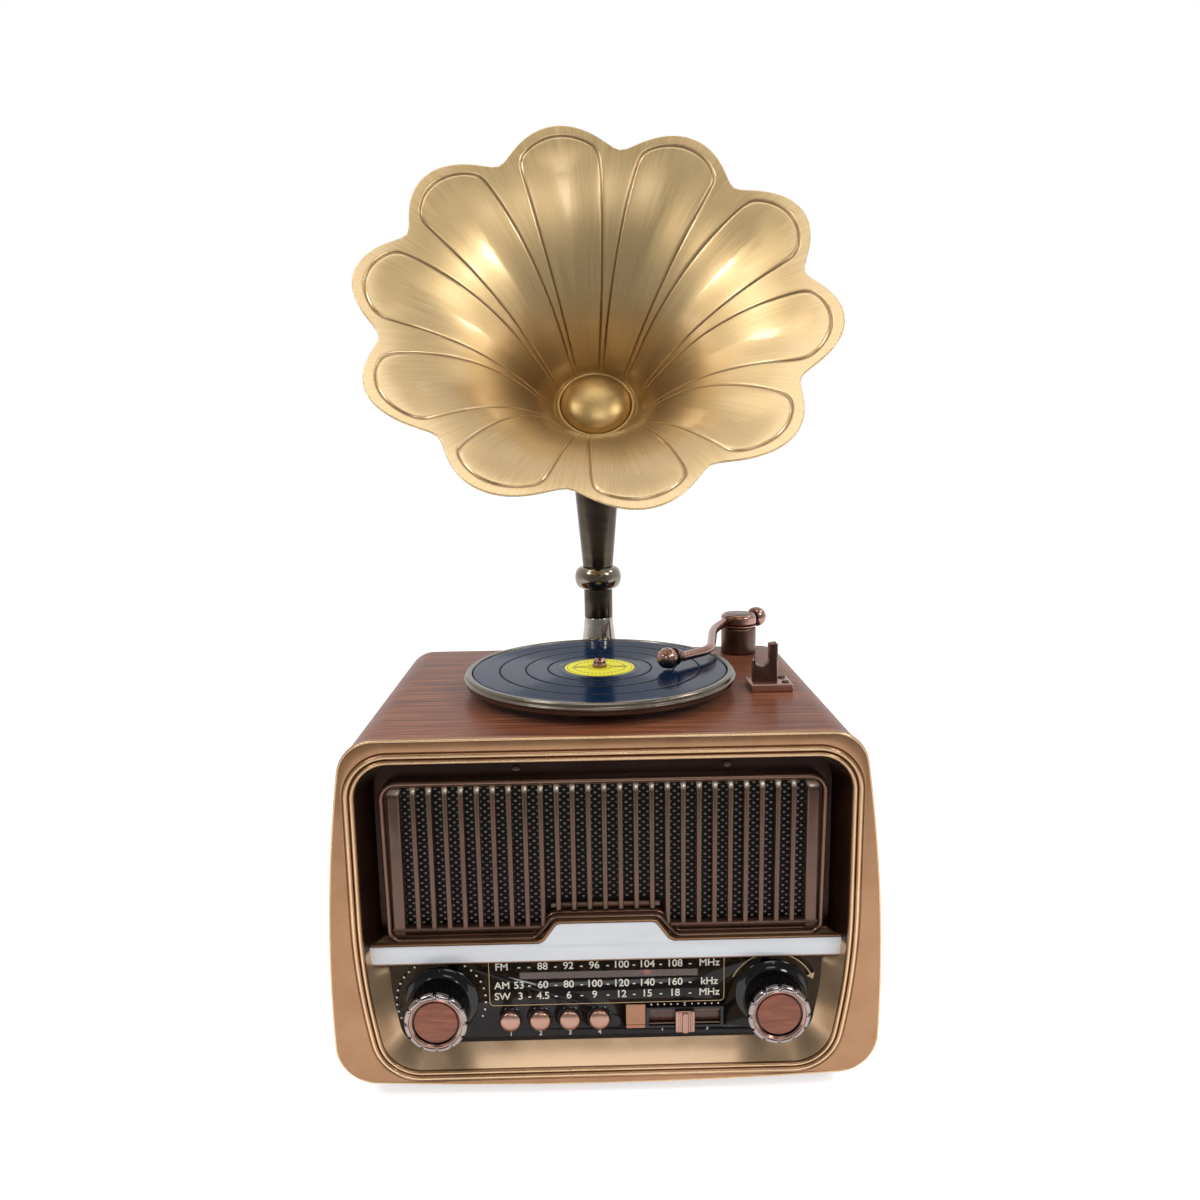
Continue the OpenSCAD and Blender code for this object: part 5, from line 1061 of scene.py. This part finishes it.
class RADIOGRAM_OT_tonearm(bpy.types.Operator):
    """Tonearm: pedestal, swivel disc, cap, bent tube, ball and sound box"""
    bl_idname = "radiogram.tonearm"
    bl_label = "Tonearm"

    def execute(self, context):
        foot = fillet([(0, 180.8), (10.6, 180.8), (10.8, 181.4), (10.8, 196.2), (9.8, 197.4), (3.3, 197.4),
                       (3.3, 196.0), (0, 196.0)], [0, 0.2, 0.3, 1.0, 0.6, 0.1, 0.1, 0], 5, closed=False)
        piece("pedestal", revolve(foot, ARM_AT, n=96), "cabinet", dark_copper(), ["tonearm_pedestal"])
        disc = fillet([(0, 197.7), (10.7, 197.7), (10.7, 198.5), (0, 198.5)], [0, 0.2, 0.2, 0], 4,
                      closed=False)
        piece("swivel_disc", revolve(disc, ARM_AT, n=96), "arm_swivel", pale_copper(),
              ["tonearm_swivel"])
        cap = fillet([(4.6, 199.2), (10.2, 199.2), (10.9, 199.9), (10.9, 203.6), (9.9, 205.2), (8.9, 205.2),
                      (8.5, 204.9), (0, 205.1)], [0, 0.4, 0.4, 0.9, 0.9, 0.3, 0.3, 0], 6, closed=False)
        cap = np.vstack([[(0, 202.6), (4.6, 202.6)], cap])
        cap[-1, 0] = 0
        piece("swivel_cap", revolve(cap, ARM_AT, n=96), "arm", antique_copper(), ["tonearm_cap"])
        top = [(0, 205.3), (7.9, 205.3), (8.3, 205.1), (8.3, 204.6), (0, 204.6)]
        piece("swivel_cap_top", revolve(top, ARM_AT, n=64), "arm", dark_copper(), ())
        path = arm_path() + ARM_AT + [0, 0, ARM_Z]
        piece("arm_tube", tube(path, 2.65, n=28), "arm", antique_copper(), ["tonearm_tube"])
        a = np.radians(np.linspace(8, 118, 24))
        ball = [(0, 6.2), *zip(6.2 * np.sin(a), 6.2 * np.cos(a)), (1.9, -2.9), (1.9, -5.5), (0, -5.5)]
        at = ARM_AT + [0, 0, ARM_Z + 0.4] + ARM_BACK * 14.4
        piece("counterweight", revolve(ball, at, ARM_BACK, 64), "arm", antique_copper(),
              ["tonearm_counterweight"])
        # The sound box points along w, forward and to the left
        turn = math.atan2(-9.6, -11)
        w = np.array([math.cos(turn), math.sin(turn), 0])
        head_z = RECORD_TOP + 5.2 + 1.0
        end = ARM_AT + [-45, -79, head_z]
        # A ball of 5.7 mm ringed by shallow ribs, behind a dark collar at the tube's end
        t = np.radians(np.linspace(34, 178, 90))
        ribs = 5.7 - 0.2 * (0.5 - 0.5 * np.cos((t - t[0]) / (t[-1] - t[0]) * 10 * math.pi)) * (t < 2.6)
        head = [(0, 3.8), (3.0, 3.8), *zip(ribs * np.sin(t), 9.2 - ribs * np.cos(t)), (0, 14.9)]
        piece("sound_box_shell", revolve(head, end, w, 72), "arm", antique_copper(), ["sound_box"])
        collar = fillet([(0, -0.8), (3.2, -0.8), (4.0, 1.5), (4.9, 3.2), (5.1, 4.6), (0, 4.6)],
                        [0, 0.3, 0.3, 0.3, 0.3, 0], 4, closed=False)
        piece("sound_box_collar", revolve(collar, end, w, 64), "arm", dark_copper(), ())
        cart = end + w * 7.8
        lower = fillet([(-3.0, 0), (-3.0, 5.5), (3.4, 5.5), (3.4, 1.4), (1.8, 0)],
                       [0.6, 0.3, 0.3, 0.6, 0.6], 4)
        rings = []
        n = np.array([-w[1], w[0], 0])
        for s in (-2.9, -2.6, 2.6, 2.9):
            shape = offset(lower, -0.3 if abs(s) > 2.7 else 0)
            drop = (shape[:, 1:] - 5.2 - 0.1) * [0, 0, 1]
            rings.append(cart + shape[:, :1] * w + n * s + drop)
        tip = revolve([(0, 0), (0.16, 0.35), (0.45, 0.9), (0.5, 2.2), (0, 2.2)],
                      end + w * 9.0 + [0, 0, RECORD_TOP + 0.6 - head_z], (0, 0, 1), 16)
        piece("cartridge", [loft(rings, ends="face"), tip], "arm", dark_plastic(), ())
        return {"FINISHED"}


class RADIOGRAM_OT_arm_rest(bpy.types.Operator):
    """Arm rest: screwed base, upright plate with a cradle and a brace"""
    bl_idname = "radiogram.arm_rest"
    bl_label = "Arm rest"

    def execute(self, context):
        x0, d0, cradle = 80.9, 70.0, 194.1
        cx, r = x0 + 4.6, 3.9
        bowl = arc(cx, cradle + r, r, 190, 350, 24)
        outline = np.vstack([[(x0, DECK + 0.2), (x0, cradle + 2.6)], [(bowl[0, 0] - 0.2, cradle + 3.1)],
                             bowl, [(cx + r + 0.1, cradle + r + 1), (cx + r - 0.2, cradle + 11.2),
                                    (cx + r + 0.4, cradle + 12.0), (x0 + 12.4, cradle + 12.4),
                                    (x0 + 13.3, cradle + 11.4), (x0 + 13.5, DECK + 0.2)]])
        up = plate(outline, d0 + 5, d0 + 8.2, 0.4, 3)
        piece("rest_frame", up, "cabinet", dark_copper(), ["arm_rest"])
        sides = fillet([(d0 + 8.0, DECK + 3), (d0 + 8.0, cradle + 10), (d0 + 9.8, cradle + 9.5),
                        (d0 + 14.5, DECK + 4.4), (d0 + 14.5, DECK + 3)], 0.4, 4)
        verts, faces, _ = plate(sides, 0, 2.6, 0.3, 3)
        brace = outward(np.stack([x0 + 13.5 - verts[:, 1], verts[:, 0], verts[:, 2]], 1), faces)
        base = block((79.3, d0, DECK), (101.7, d0 + 18, DECK + 4.3), 0.6)
        edge = plate(outline, d0 + 4.8, d0 + 5.6, 0.5, 3)
        inner = plate(offset(outline, -0.55), d0 + 4.55, d0 + 5.6, 0.3, 3)
        piece("rest_edge", [brace, edge], "cabinet", antique_copper(), ())
        piece("rest_face", inner, "cabinet", dark_copper(), ())
        piece("rest_base", base, "cabinet", pale_copper(), ())
        screws = []
        for d in (d0 + 4, d0 + 14.4):
            screws.append(revolve([(0, 0.9), (1.2, 0.85), (1.9, 0.5), (2.1, 0.1), (2.1, -0.4), (0, -0.4)],
                                  (98.3, d, DECK + 4.5), n=32))
            screws.append(block((96.9, d - 0.25, DECK + 5.2), (99.7, d + 0.25, DECK + 5.48), 0.1))
        piece("rest_screws", screws, "cabinet", dark_copper(), ())
        return {"FINISHED"}


# Horn
MOUTH = np.array([1.0, 80.0, 380.7])
TILT = math.radians(34.3)
OUT = np.array([0, -math.cos(TILT), math.sin(TILT)])
UP = np.array([0, math.sin(TILT), math.cos(TILT)])
RIGHT = np.array([1.0, 0, 0])
VALLEY, REACH, THROAT, DEEP, LIP = 107.8, 14.2, 23.0, 87.6, 17.0
FLARE = (VALLEY - THROAT) / math.log((DEEP + LIP) / LIP)


def bell_height(r):
    """Height of the bell at radius r, measured out of the mouth: an exponential flare from the throat."""
    return LIP - (DEEP + LIP) * np.exp(-(r - THROAT) / FLARE)


class RADIOGRAM_OT_horn(bpy.types.Operator):
    """Horn bell of ten petals with grooved outlines, ribs between them and a rolled rim"""
    bl_idname = "radiogram.horn"
    bl_label = "Horn bell"

    def execute(self, context):
        sizes = context.scene.radiogram_sizes
        petals, inset, soft = 10, 5.6, 0.22
        half = math.pi / petals

        def edge(away):
            """Radius of the rim at an angle away from a petal's middle, with softly rounded valleys."""
            c = np.sqrt(np.cos(petals / 2 * away) ** 2 + soft ** 2)
            return VALLEY + REACH * (c - soft) / (math.sqrt(1 + soft ** 2) - soft)

        def rib(r):
            """Half width of a rib in mm: narrow at the throat and wide at the rim."""
            return 1.3 + 10.2 * np.clip((r - THROAT) / (VALLEY - THROAT), 0, 1.2) ** 1.7

        # Rows crowd together at the groove along the petal's tip, and columns at the grooves along its sides
        t = np.concatenate([np.linspace(0, 0.8, 40, endpoint=False) ** 1.15 * 0.8 ** -0.15,
                            np.linspace(0.8, 0.905, 12, endpoint=False),
                            np.linspace(0.905, 0.96, 26, endpoint=False), np.linspace(0.96, 1, 8)])[:, None]
        guess = THROAT + (VALLEY + 4 - THROAT) * t
        strip = np.minimum(np.minimum(1.6, 0.8 * rib(guess)), 0.25 * guess * half)
        panel = guess * half - rib(guess)
        into = [strip + (panel - strip) * v for v in np.linspace(1, 0, 14, endpoint=False) ** 1.2]
        into += [strip * v for v in (1, 0.68, 0.45, 0.28, 0.13, 0, -0.13, -0.28, -0.45, -0.68, -1)]
        into += [-strip - (rib(guess) - strip) * v for v in (0.3, 0.65, 1)]
        # Angles away from the petal's middle: the first column lies on it, and the last on the rib's middle
        away = half - (rib(guess) + np.hstack(into)) / guess
        turned = np.hstack([away, 2 * half - away[:, -2:0:-1]])
        away = np.tile(np.hstack([away, away[:, -2:0:-1]]), petals)
        centre = np.radians(27.9 + 36 * np.arange(petals))[None, :, None]
        angle = (centre + turned[:, None, :]).reshape(len(t), -1)
        r = THROAT + (edge(away) - THROAT) * t
        z = bell_height(r)
        slope = (DEEP + LIP) / FLARE * np.exp(-(r - THROAT) / FLARE)
        from_rim = edge(away) - r - inset
        from_rib = r * (half - np.abs(away)) - rib(r)
        # Smooth minimum of the two distances: positive inside a petal's panel, zero on its groove
        k = 2.2
        q = -k * np.log(np.exp(-np.clip(from_rim, -30, 30) / k) + np.exp(-np.clip(from_rib, -30, 30) / k))
        fade = np.clip(t * 10, 0, 1)
        width = 0.35 + 0.35 * t
        groove = -sizes.groove * np.exp(-(q / width) ** 2) * fade
        dish = -sizes.petal_hollow * (1 - np.exp(-(np.clip(q, 0, None) / 15) ** 2)) * np.clip(t * 2.2, 0, 1)
        lift = groove + dish
        norm = np.sqrt(1 + slope ** 2)
        # The front of the sheet is lifted along its normal, and its back lies 1.15 mm behind the plain flare
        thick = 1.15
        fr, fz = r - slope / norm * lift, z + lift / norm
        br, bz = r + slope / norm * thick, z - thick / norm
        roll = ((0.35, 0.1), (0.7, -0.25), (0.75, -0.7), (0.5, -1.15))
        rr = np.vstack([fr] + [edge(away[-1:]) + a for a, _ in roll] + [br[::-3]])
        zz = np.vstack([fz] + [z[-1:] + b for _, b in roll] + [bz[::-3]])
        aa = np.vstack([angle] + [angle[-1:]] * len(roll) + [angle[::-3]])
        around = np.cos(aa)[..., None] * RIGHT + np.sin(aa)[..., None] * UP
        pts = MOUTH + rr[..., None] * around + zz[..., None] * OUT
        run = np.concatenate([[0], np.cumsum(np.linalg.norm(np.diff(pts[:, 0], axis=0), axis=1)), [400]])
        column = np.concatenate([aa, aa[:, :1] + 2 * math.pi], axis=1)
        column = np.vstack([column, column[:1]])
        uv = np.stack([column * 9.0, np.broadcast_to(run[:, None] / 10, column.shape)], -1)
        bell = piece("horn_petals", loft(pts, closed=True, uv=uv), "horn", brushed_brass(), ["horn_bell"],
                     70)
        # Painted shade: a darker colour in the pressed lines and deep in the throat, where shade falls
        dark = np.zeros(pts.shape[:2])
        dark[:len(t)] = np.maximum(0.75 * np.exp(-(q / width) ** 2) * fade,
                                   0.45 * np.clip(1 - t / 0.45, 0, 1) ** 1.5)
        bell.data.attributes.new("painted_shade", "FLOAT", "POINT").data.foreach_set("value", dark.ravel())
        lip = fillet([(20.5, -86.6), (20.5, -83.9), (21.3, -83.1), (22.4, -83.3), (23.4, -84.6),
                      (25.2, -85.6), (25.2, -87.0)], 0.4, 5)
        piece("throat_collar", revolve(lip, MOUTH, OUT, 96), "horn", turned_brass(), ["throat_ring"])
        t = np.radians(np.linspace(0, 90, 18))
        curve = zip(20.5 * np.sin(t[1:]), -84.8 + 10.2 * np.cos(t[1:]))
        dome = [(0, -74.6), *curve, (20.5, -85.6), (0, -85.6)]
        piece("dome_cap", revolve(dome, MOUTH, OUT, 96), "horn", turned_brass(), ["throat_dome"])
        return {"FINISHED"}


class RADIOGRAM_OT_neck(bpy.types.Operator):
    """Elbow, neck with its bead and the pale collar at its foot"""
    bl_idname = "radiogram.neck"
    bl_label = "Horn neck"

    def execute(self, context):
        throat = MOUTH - DEEP * OUT
        bend = (172 - throat[1]) / (1 - math.sin(TILT))
        a = np.radians(np.linspace(34.3, 90, 30))
        path = np.stack([np.full(30, 1.0), throat[1] + bend * (np.sin(a) - math.sin(TILT)),
                         throat[2] - bend * (math.cos(TILT) - np.cos(a))], 1)
        top_r, throat_r = 14.4, 24.2
        radii = throat_r + (top_r - throat_r) * np.sin(np.linspace(0, math.pi / 2, 30))
        path = np.vstack([path, path[-1] - [0, 0, 0.5]])
        radii = np.append(radii, top_r)
        piece("elbow", tube(path, radii, side=(1, 0, 0), n=72), "horn", gunmetal(), ["horn_elbow"])
        seam = [(23.4, -89.6), (24.6, -89.4), (25.1, -88.6), (24.8, -87.8), (23.6, -87.4), (23.2, -88.4)]
        piece("seam_ring", revolve(fillet(seam, 0.3, 4), MOUTH, OUT, 96), "horn", gunmetal(), ())
        foot = (1.0, 172.0, 0.0)
        cone = fillet([(0, 294.2), (14.4, 294.2), (9.35, 235.6), (9.0, 235.2), (0, 235.2)],
                      [0, 0.2, 0.6, 0.1, 0], 5, closed=False)
        t = np.radians(np.linspace(-90, 90, 24))
        curve = zip(8.9 + 5.5 * np.maximum(np.cos(t), 0) ** 0.75, 228.6 + 6.9 * np.sin(t))
        bead = [(0, 222.0), (9.0, 222.0), *curve, (9.0, 235.4), (0, 235.4)]
        shaft = fillet([(0, 222.2), (8.9, 222.2), (8.9, 203.6), (8.2, 202.6), (0, 202.6)],
                       [0, 0.1, 0.8, 0.5, 0], 5, closed=False)
        piece("neck_cone", [revolve(cone, foot, n=96), revolve(shaft, foot, n=96)], "horn", gunmetal(),
              ["horn_neck"])
        piece("neck_bulb", revolve(bead, foot, n=96), "horn", buffed_bronze(), ())
        collar = fillet([(0, 204.4), (8.2, 204.4), (8.9, 203.4), (9.5, 198.0), (10.5, 190.0), (11.3, 185.0),
                         (12.2, 182.6), (12.3, 182.0), (0, 182.0)], [0, 0.5, 1, 4, 6, 3, 0.5, 0.2, 0], 6,
                        closed=False)
        piece("neck_collar", revolve(collar, foot, n=96), "horn", bright_nickel(), ())
        return {"FINISHED"}


# Back, feet and inner parts
class RADIOGRAM_OT_back(bpy.types.Operator):
    """Screw heads of the rear cover, and the rubber feet"""
    bl_idname = "radiogram.back"
    bl_label = "Back and feet"

    def execute(self, context):
        head = [(0, 0.2), (0.9, 0.15), (1.9, 0.1), (2.5, -0.1), (2.8, -0.5), (2.8, -1.1), (0, -1.1)]
        screws = [revolve(head, (s * x, 184.9, z), TO_BACK, 32)
                  for s in (-1, 1) for x, z in ((106, 163.7), (118, 80), (106, 24.1))]
        piece("rear_screw_heads", screws, "cabinet", plain_steel(), ["case_screws"])
        foot = fillet([(0, 0), (7.2, 0), (8, 1.2), (8, 8.0), (0, 8.0)], [0, 0.3, 0.6, 0.1, 0], 4,
                      closed=False)
        feet = [revolve(foot, (x, d, 0), n=48) for x in (-95, 95) for d in (26, 159)]
        piece("rubber_feet", feet, "cabinet", foot_rubber(), ["feet"])
        return {"FINISHED"}


class RADIOGRAM_OT_inner(bpy.types.Operator):
    """Finishes of the CAD nodes that are kept as they are"""
    bl_idname = "radiogram.inner"
    bl_label = "Inner parts"

    def execute(self, context):
        kept = {back_board: ("rear_cover",),
                plain_steel: ("pointer_rail", "volume_shaft", "tuning_shaft", "spindle", "motor_pulley"),
                cast_grey: ("volume_control", "tuning_capacitor", "speakers", "drive_motor", "neck_socket"),
                board_lacquer: ("control_board", "main_board"),
                dark_plastic: ("ferrite_aerial", "power_inlet", "audio_jack", "selector_switch"),
                foot_rubber: ("drive_belt",), turned_brass: ("main_bearing",), cord_weave: ("dial_cord",),
                pointer_glow: ("dial_pointer",)}
        for make, names in kept.items():
            for name in names:
                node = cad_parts[name]
                node.data.materials.clear()
                node.data.materials.append(make())
        return {"FINISHED"}


# Stage
class RADIOGRAM_OT_stage(bpy.types.Operator):
    """Pale floor, soft studio lamps and the camera at the photograph's angle"""
    bl_idname = "radiogram.stage"
    bl_label = "Stage"

    def execute(self, context):
        sizes = context.scene.radiogram_sizes
        colours = context.scene.radiogram_colours
        scene = context.scene
        mesh = bpy.data.meshes.new("floor")
        far, front = 6.0, -0.45
        corners = [(-far, front, 0), (far, front, 0), (far, far, 0), (-far, far, 0)]
        mesh.from_pydata(corners, [], [(0, 1, 2, 3)])
        floor = bpy.data.objects.new("floor", mesh)
        scene.collection.objects.link(floor)
        mat = bpy.data.materials.new("pale_floor")
        mat.use_nodes = True
        mesh.materials.append(mat)
        tree = mat.node_tree
        tree.nodes.clear()
        diffuse = add(tree, "ShaderNodeBsdfDiffuse", {"Color": tuple(colours.floor)})
        glow = add(tree, "ShaderNodeEmission", {"Color": tuple(colours.backdrop), "Strength": 0.62})
        both = add(tree, "ShaderNodeAddShader", {0: diffuse.outputs[0], 1: glow.outputs[0]})
        mix = add(tree, "ShaderNodeMixShader",
                  {0: seen_ray(tree), 1: diffuse.outputs[0], 2: both.outputs[0]})
        add(tree, "ShaderNodeOutputMaterial", {"Surface": mix.outputs[0]})
        world = bpy.data.worlds.new("studio")
        scene.world = world
        world.use_nodes = True
        tree = world.node_tree
        tree.nodes.clear()
        # The white backdrop stands behind the object, and the room behind the camera and above is darker
        ray = add(tree, "ShaderNodeTexCoord").outputs["Generated"]
        way = add(tree, "ShaderNodeSeparateXYZ", {"Vector": ray})
        lean = add(tree, "ShaderNodeMath", {0: way.outputs["Z"], 1: -0.45, 2: way.outputs["Y"]},
                   operation="MULTIPLY_ADD")
        shade = add(tree, "ShaderNodeMapRange", {"Value": lean.outputs[0], "From Min": -0.9,
                                                 "From Max": 0.6, "To Min": 0.25, "To Max": 1.0})
        room = add(tree, "ShaderNodeBackground", {"Color": (0.96, 0.98, 1.0, 1), "Strength": 0.5})
        mirrored = add(tree, "ShaderNodeBackground",
                       {"Color": tuple(colours.backdrop), "Strength": shade.outputs[0]})
        white = add(tree, "ShaderNodeBackground", {"Color": tuple(colours.backdrop), "Strength": 1.0})
        path = add(tree, "ShaderNodeLightPath")
        mix = add(tree, "ShaderNodeMixShader",
                  {0: seen_ray(tree), 1: room.outputs[0], 2: mirrored.outputs[0]})
        mix = add(tree, "ShaderNodeMixShader",
                  {0: path.outputs["Is Camera Ray"], 1: mix.outputs[0], 2: white.outputs[0]})
        add(tree, "ShaderNodeOutputWorld", {"Surface": mix.outputs[0]})
        aim = np.array([0.0, 0.0, 0.25])
        for name, at, size, power in (("left", (-1.05, -0.6, 1.25), 0.33, 6.0),
                                      ("right", (1.1, -0.8, 1.15), 0.33, 6.0),
                                      ("left_high", (-0.75, 0.0, 1.65), 0.3, 3.0),
                                      ("right_side", (1.15, 0.15, 1.35), 0.3, 3.0),
                                      ("front", (0.2, -1.3, 1.0), 0.5, 3.0),
                                      ("top", (0.0, -0.2, 1.9), 0.9, 5.0)):
            lamp = bpy.data.lights.new(name, "AREA")
            lamp.shape, lamp.size, lamp.energy = "SQUARE", size, power * sizes.lamp
            obj = bpy.data.objects.new(name, lamp)
            scene.collection.objects.link(obj)
            look(obj, np.array(at), aim - np.array(at), 0)
        cam = bpy.data.cameras.new("camera")
        # Fitted to the photograph, which is 1200 pixels wide: focal length in pixels, place in mm and angles
        focal, wide, sensor = 935.76, 1200, 36.0
        eye = np.array([-6.68, FRONT - 405.88, 314.54])
        yaw, pitch, roll = (math.radians(a) for a in (0.86, -9.87, 0.89))
        cam.sensor_width, cam.sensor_fit = sensor, "HORIZONTAL"
        cam.lens = focal / wide * sensor
        cam.clip_start, cam.clip_end = 0.02, 50
        obj = bpy.data.objects.new("camera", cam)
        scene.collection.objects.link(obj)
        way = [math.sin(yaw) * math.cos(pitch), math.cos(yaw) * math.cos(pitch), math.sin(pitch)]
        look(obj, eye * MM, np.array(way), roll)
        scene.camera = obj
        scene.view_settings.view_transform = "Standard"
        return {"FINISHED"}


def seen_ray(tree):
    """One for camera, glossy and transmission rays, so that metal and glass show the backdrop too."""
    path = add(tree, "ShaderNodeLightPath")
    both = add(tree, "ShaderNodeMath", {0: path.outputs["Is Camera Ray"], 1: path.outputs["Is Glossy Ray"]},
               operation="ADD")
    return add(tree, "ShaderNodeMath", {0: both.outputs[0], 1: path.outputs["Is Transmission Ray"]},
               operation="ADD", use_clamp=True).outputs[0]


def look(obj, at, way, roll):
    """Puts a lamp or camera at a point, looking along way, with its right side turned down by roll."""
    f = way / np.linalg.norm(way)
    right = np.cross(f, (0, 0, 1.0))
    right /= np.linalg.norm(right)
    up = np.cross(right, f)
    r = right * math.cos(roll) - up * math.sin(roll)
    u = right * math.sin(roll) + up * math.cos(roll)
    m = np.eye(4)
    m[:3, 0], m[:3, 1], m[:3, 2], m[:3, 3] = r, u, -f, at
    obj.matrix_world = mathutils.Matrix(m.tolist())


class RADIOGRAM_PT_panel(bpy.types.Panel):
    """Lists the building operators"""
    bl_label = "Radiogram"
    bl_space_type = "VIEW_3D"
    bl_region_type = "UI"
    bl_category = "Radiogram"

    def draw(self, context):
        for prop in ("bead", "groove", "petal_hollow", "louvres", "lamp"):
            self.layout.prop(context.scene.radiogram_sizes, prop)
        for prop in ("floor", "backdrop"):
            self.layout.prop(context.scene.radiogram_colours, prop)
        for op in OPERATORS:
            self.layout.operator(op.bl_idname)


OPERATORS = (RADIOGRAM_OT_case, RADIOGRAM_OT_bezel, RADIOGRAM_OT_recess, RADIOGRAM_OT_grille,
             RADIOGRAM_OT_trim, RADIOGRAM_OT_panel, RADIOGRAM_OT_knobs, RADIOGRAM_OT_buttons,
             RADIOGRAM_OT_turntable, RADIOGRAM_OT_tonearm, RADIOGRAM_OT_arm_rest, RADIOGRAM_OT_horn,
             RADIOGRAM_OT_neck, RADIOGRAM_OT_back, RADIOGRAM_OT_inner, RADIOGRAM_OT_stage)
CLASSES = (RadiogramSizes, RadiogramColours) + OPERATORS + (RADIOGRAM_PT_panel,)


def register():
    """Registers the classes and hangs the settings on the scene."""
    for cls in CLASSES:
        bpy.utils.register_class(cls)
    bpy.types.Scene.radiogram_sizes = bpy.props.PointerProperty(type=RadiogramSizes)
    bpy.types.Scene.radiogram_colours = bpy.props.PointerProperty(type=RadiogramColours)


def unregister():
    """Takes the settings and the classes away."""
    del bpy.types.Scene.radiogram_colours
    del bpy.types.Scene.radiogram_sizes
    for cls in reversed(CLASSES):
        bpy.utils.unregister_class(cls)


def main():
    register()
    for op in OPERATORS:
        getattr(bpy.ops.radiogram, op.bl_idname.split(".")[1])()


if __name__ == "__main__":
    main()
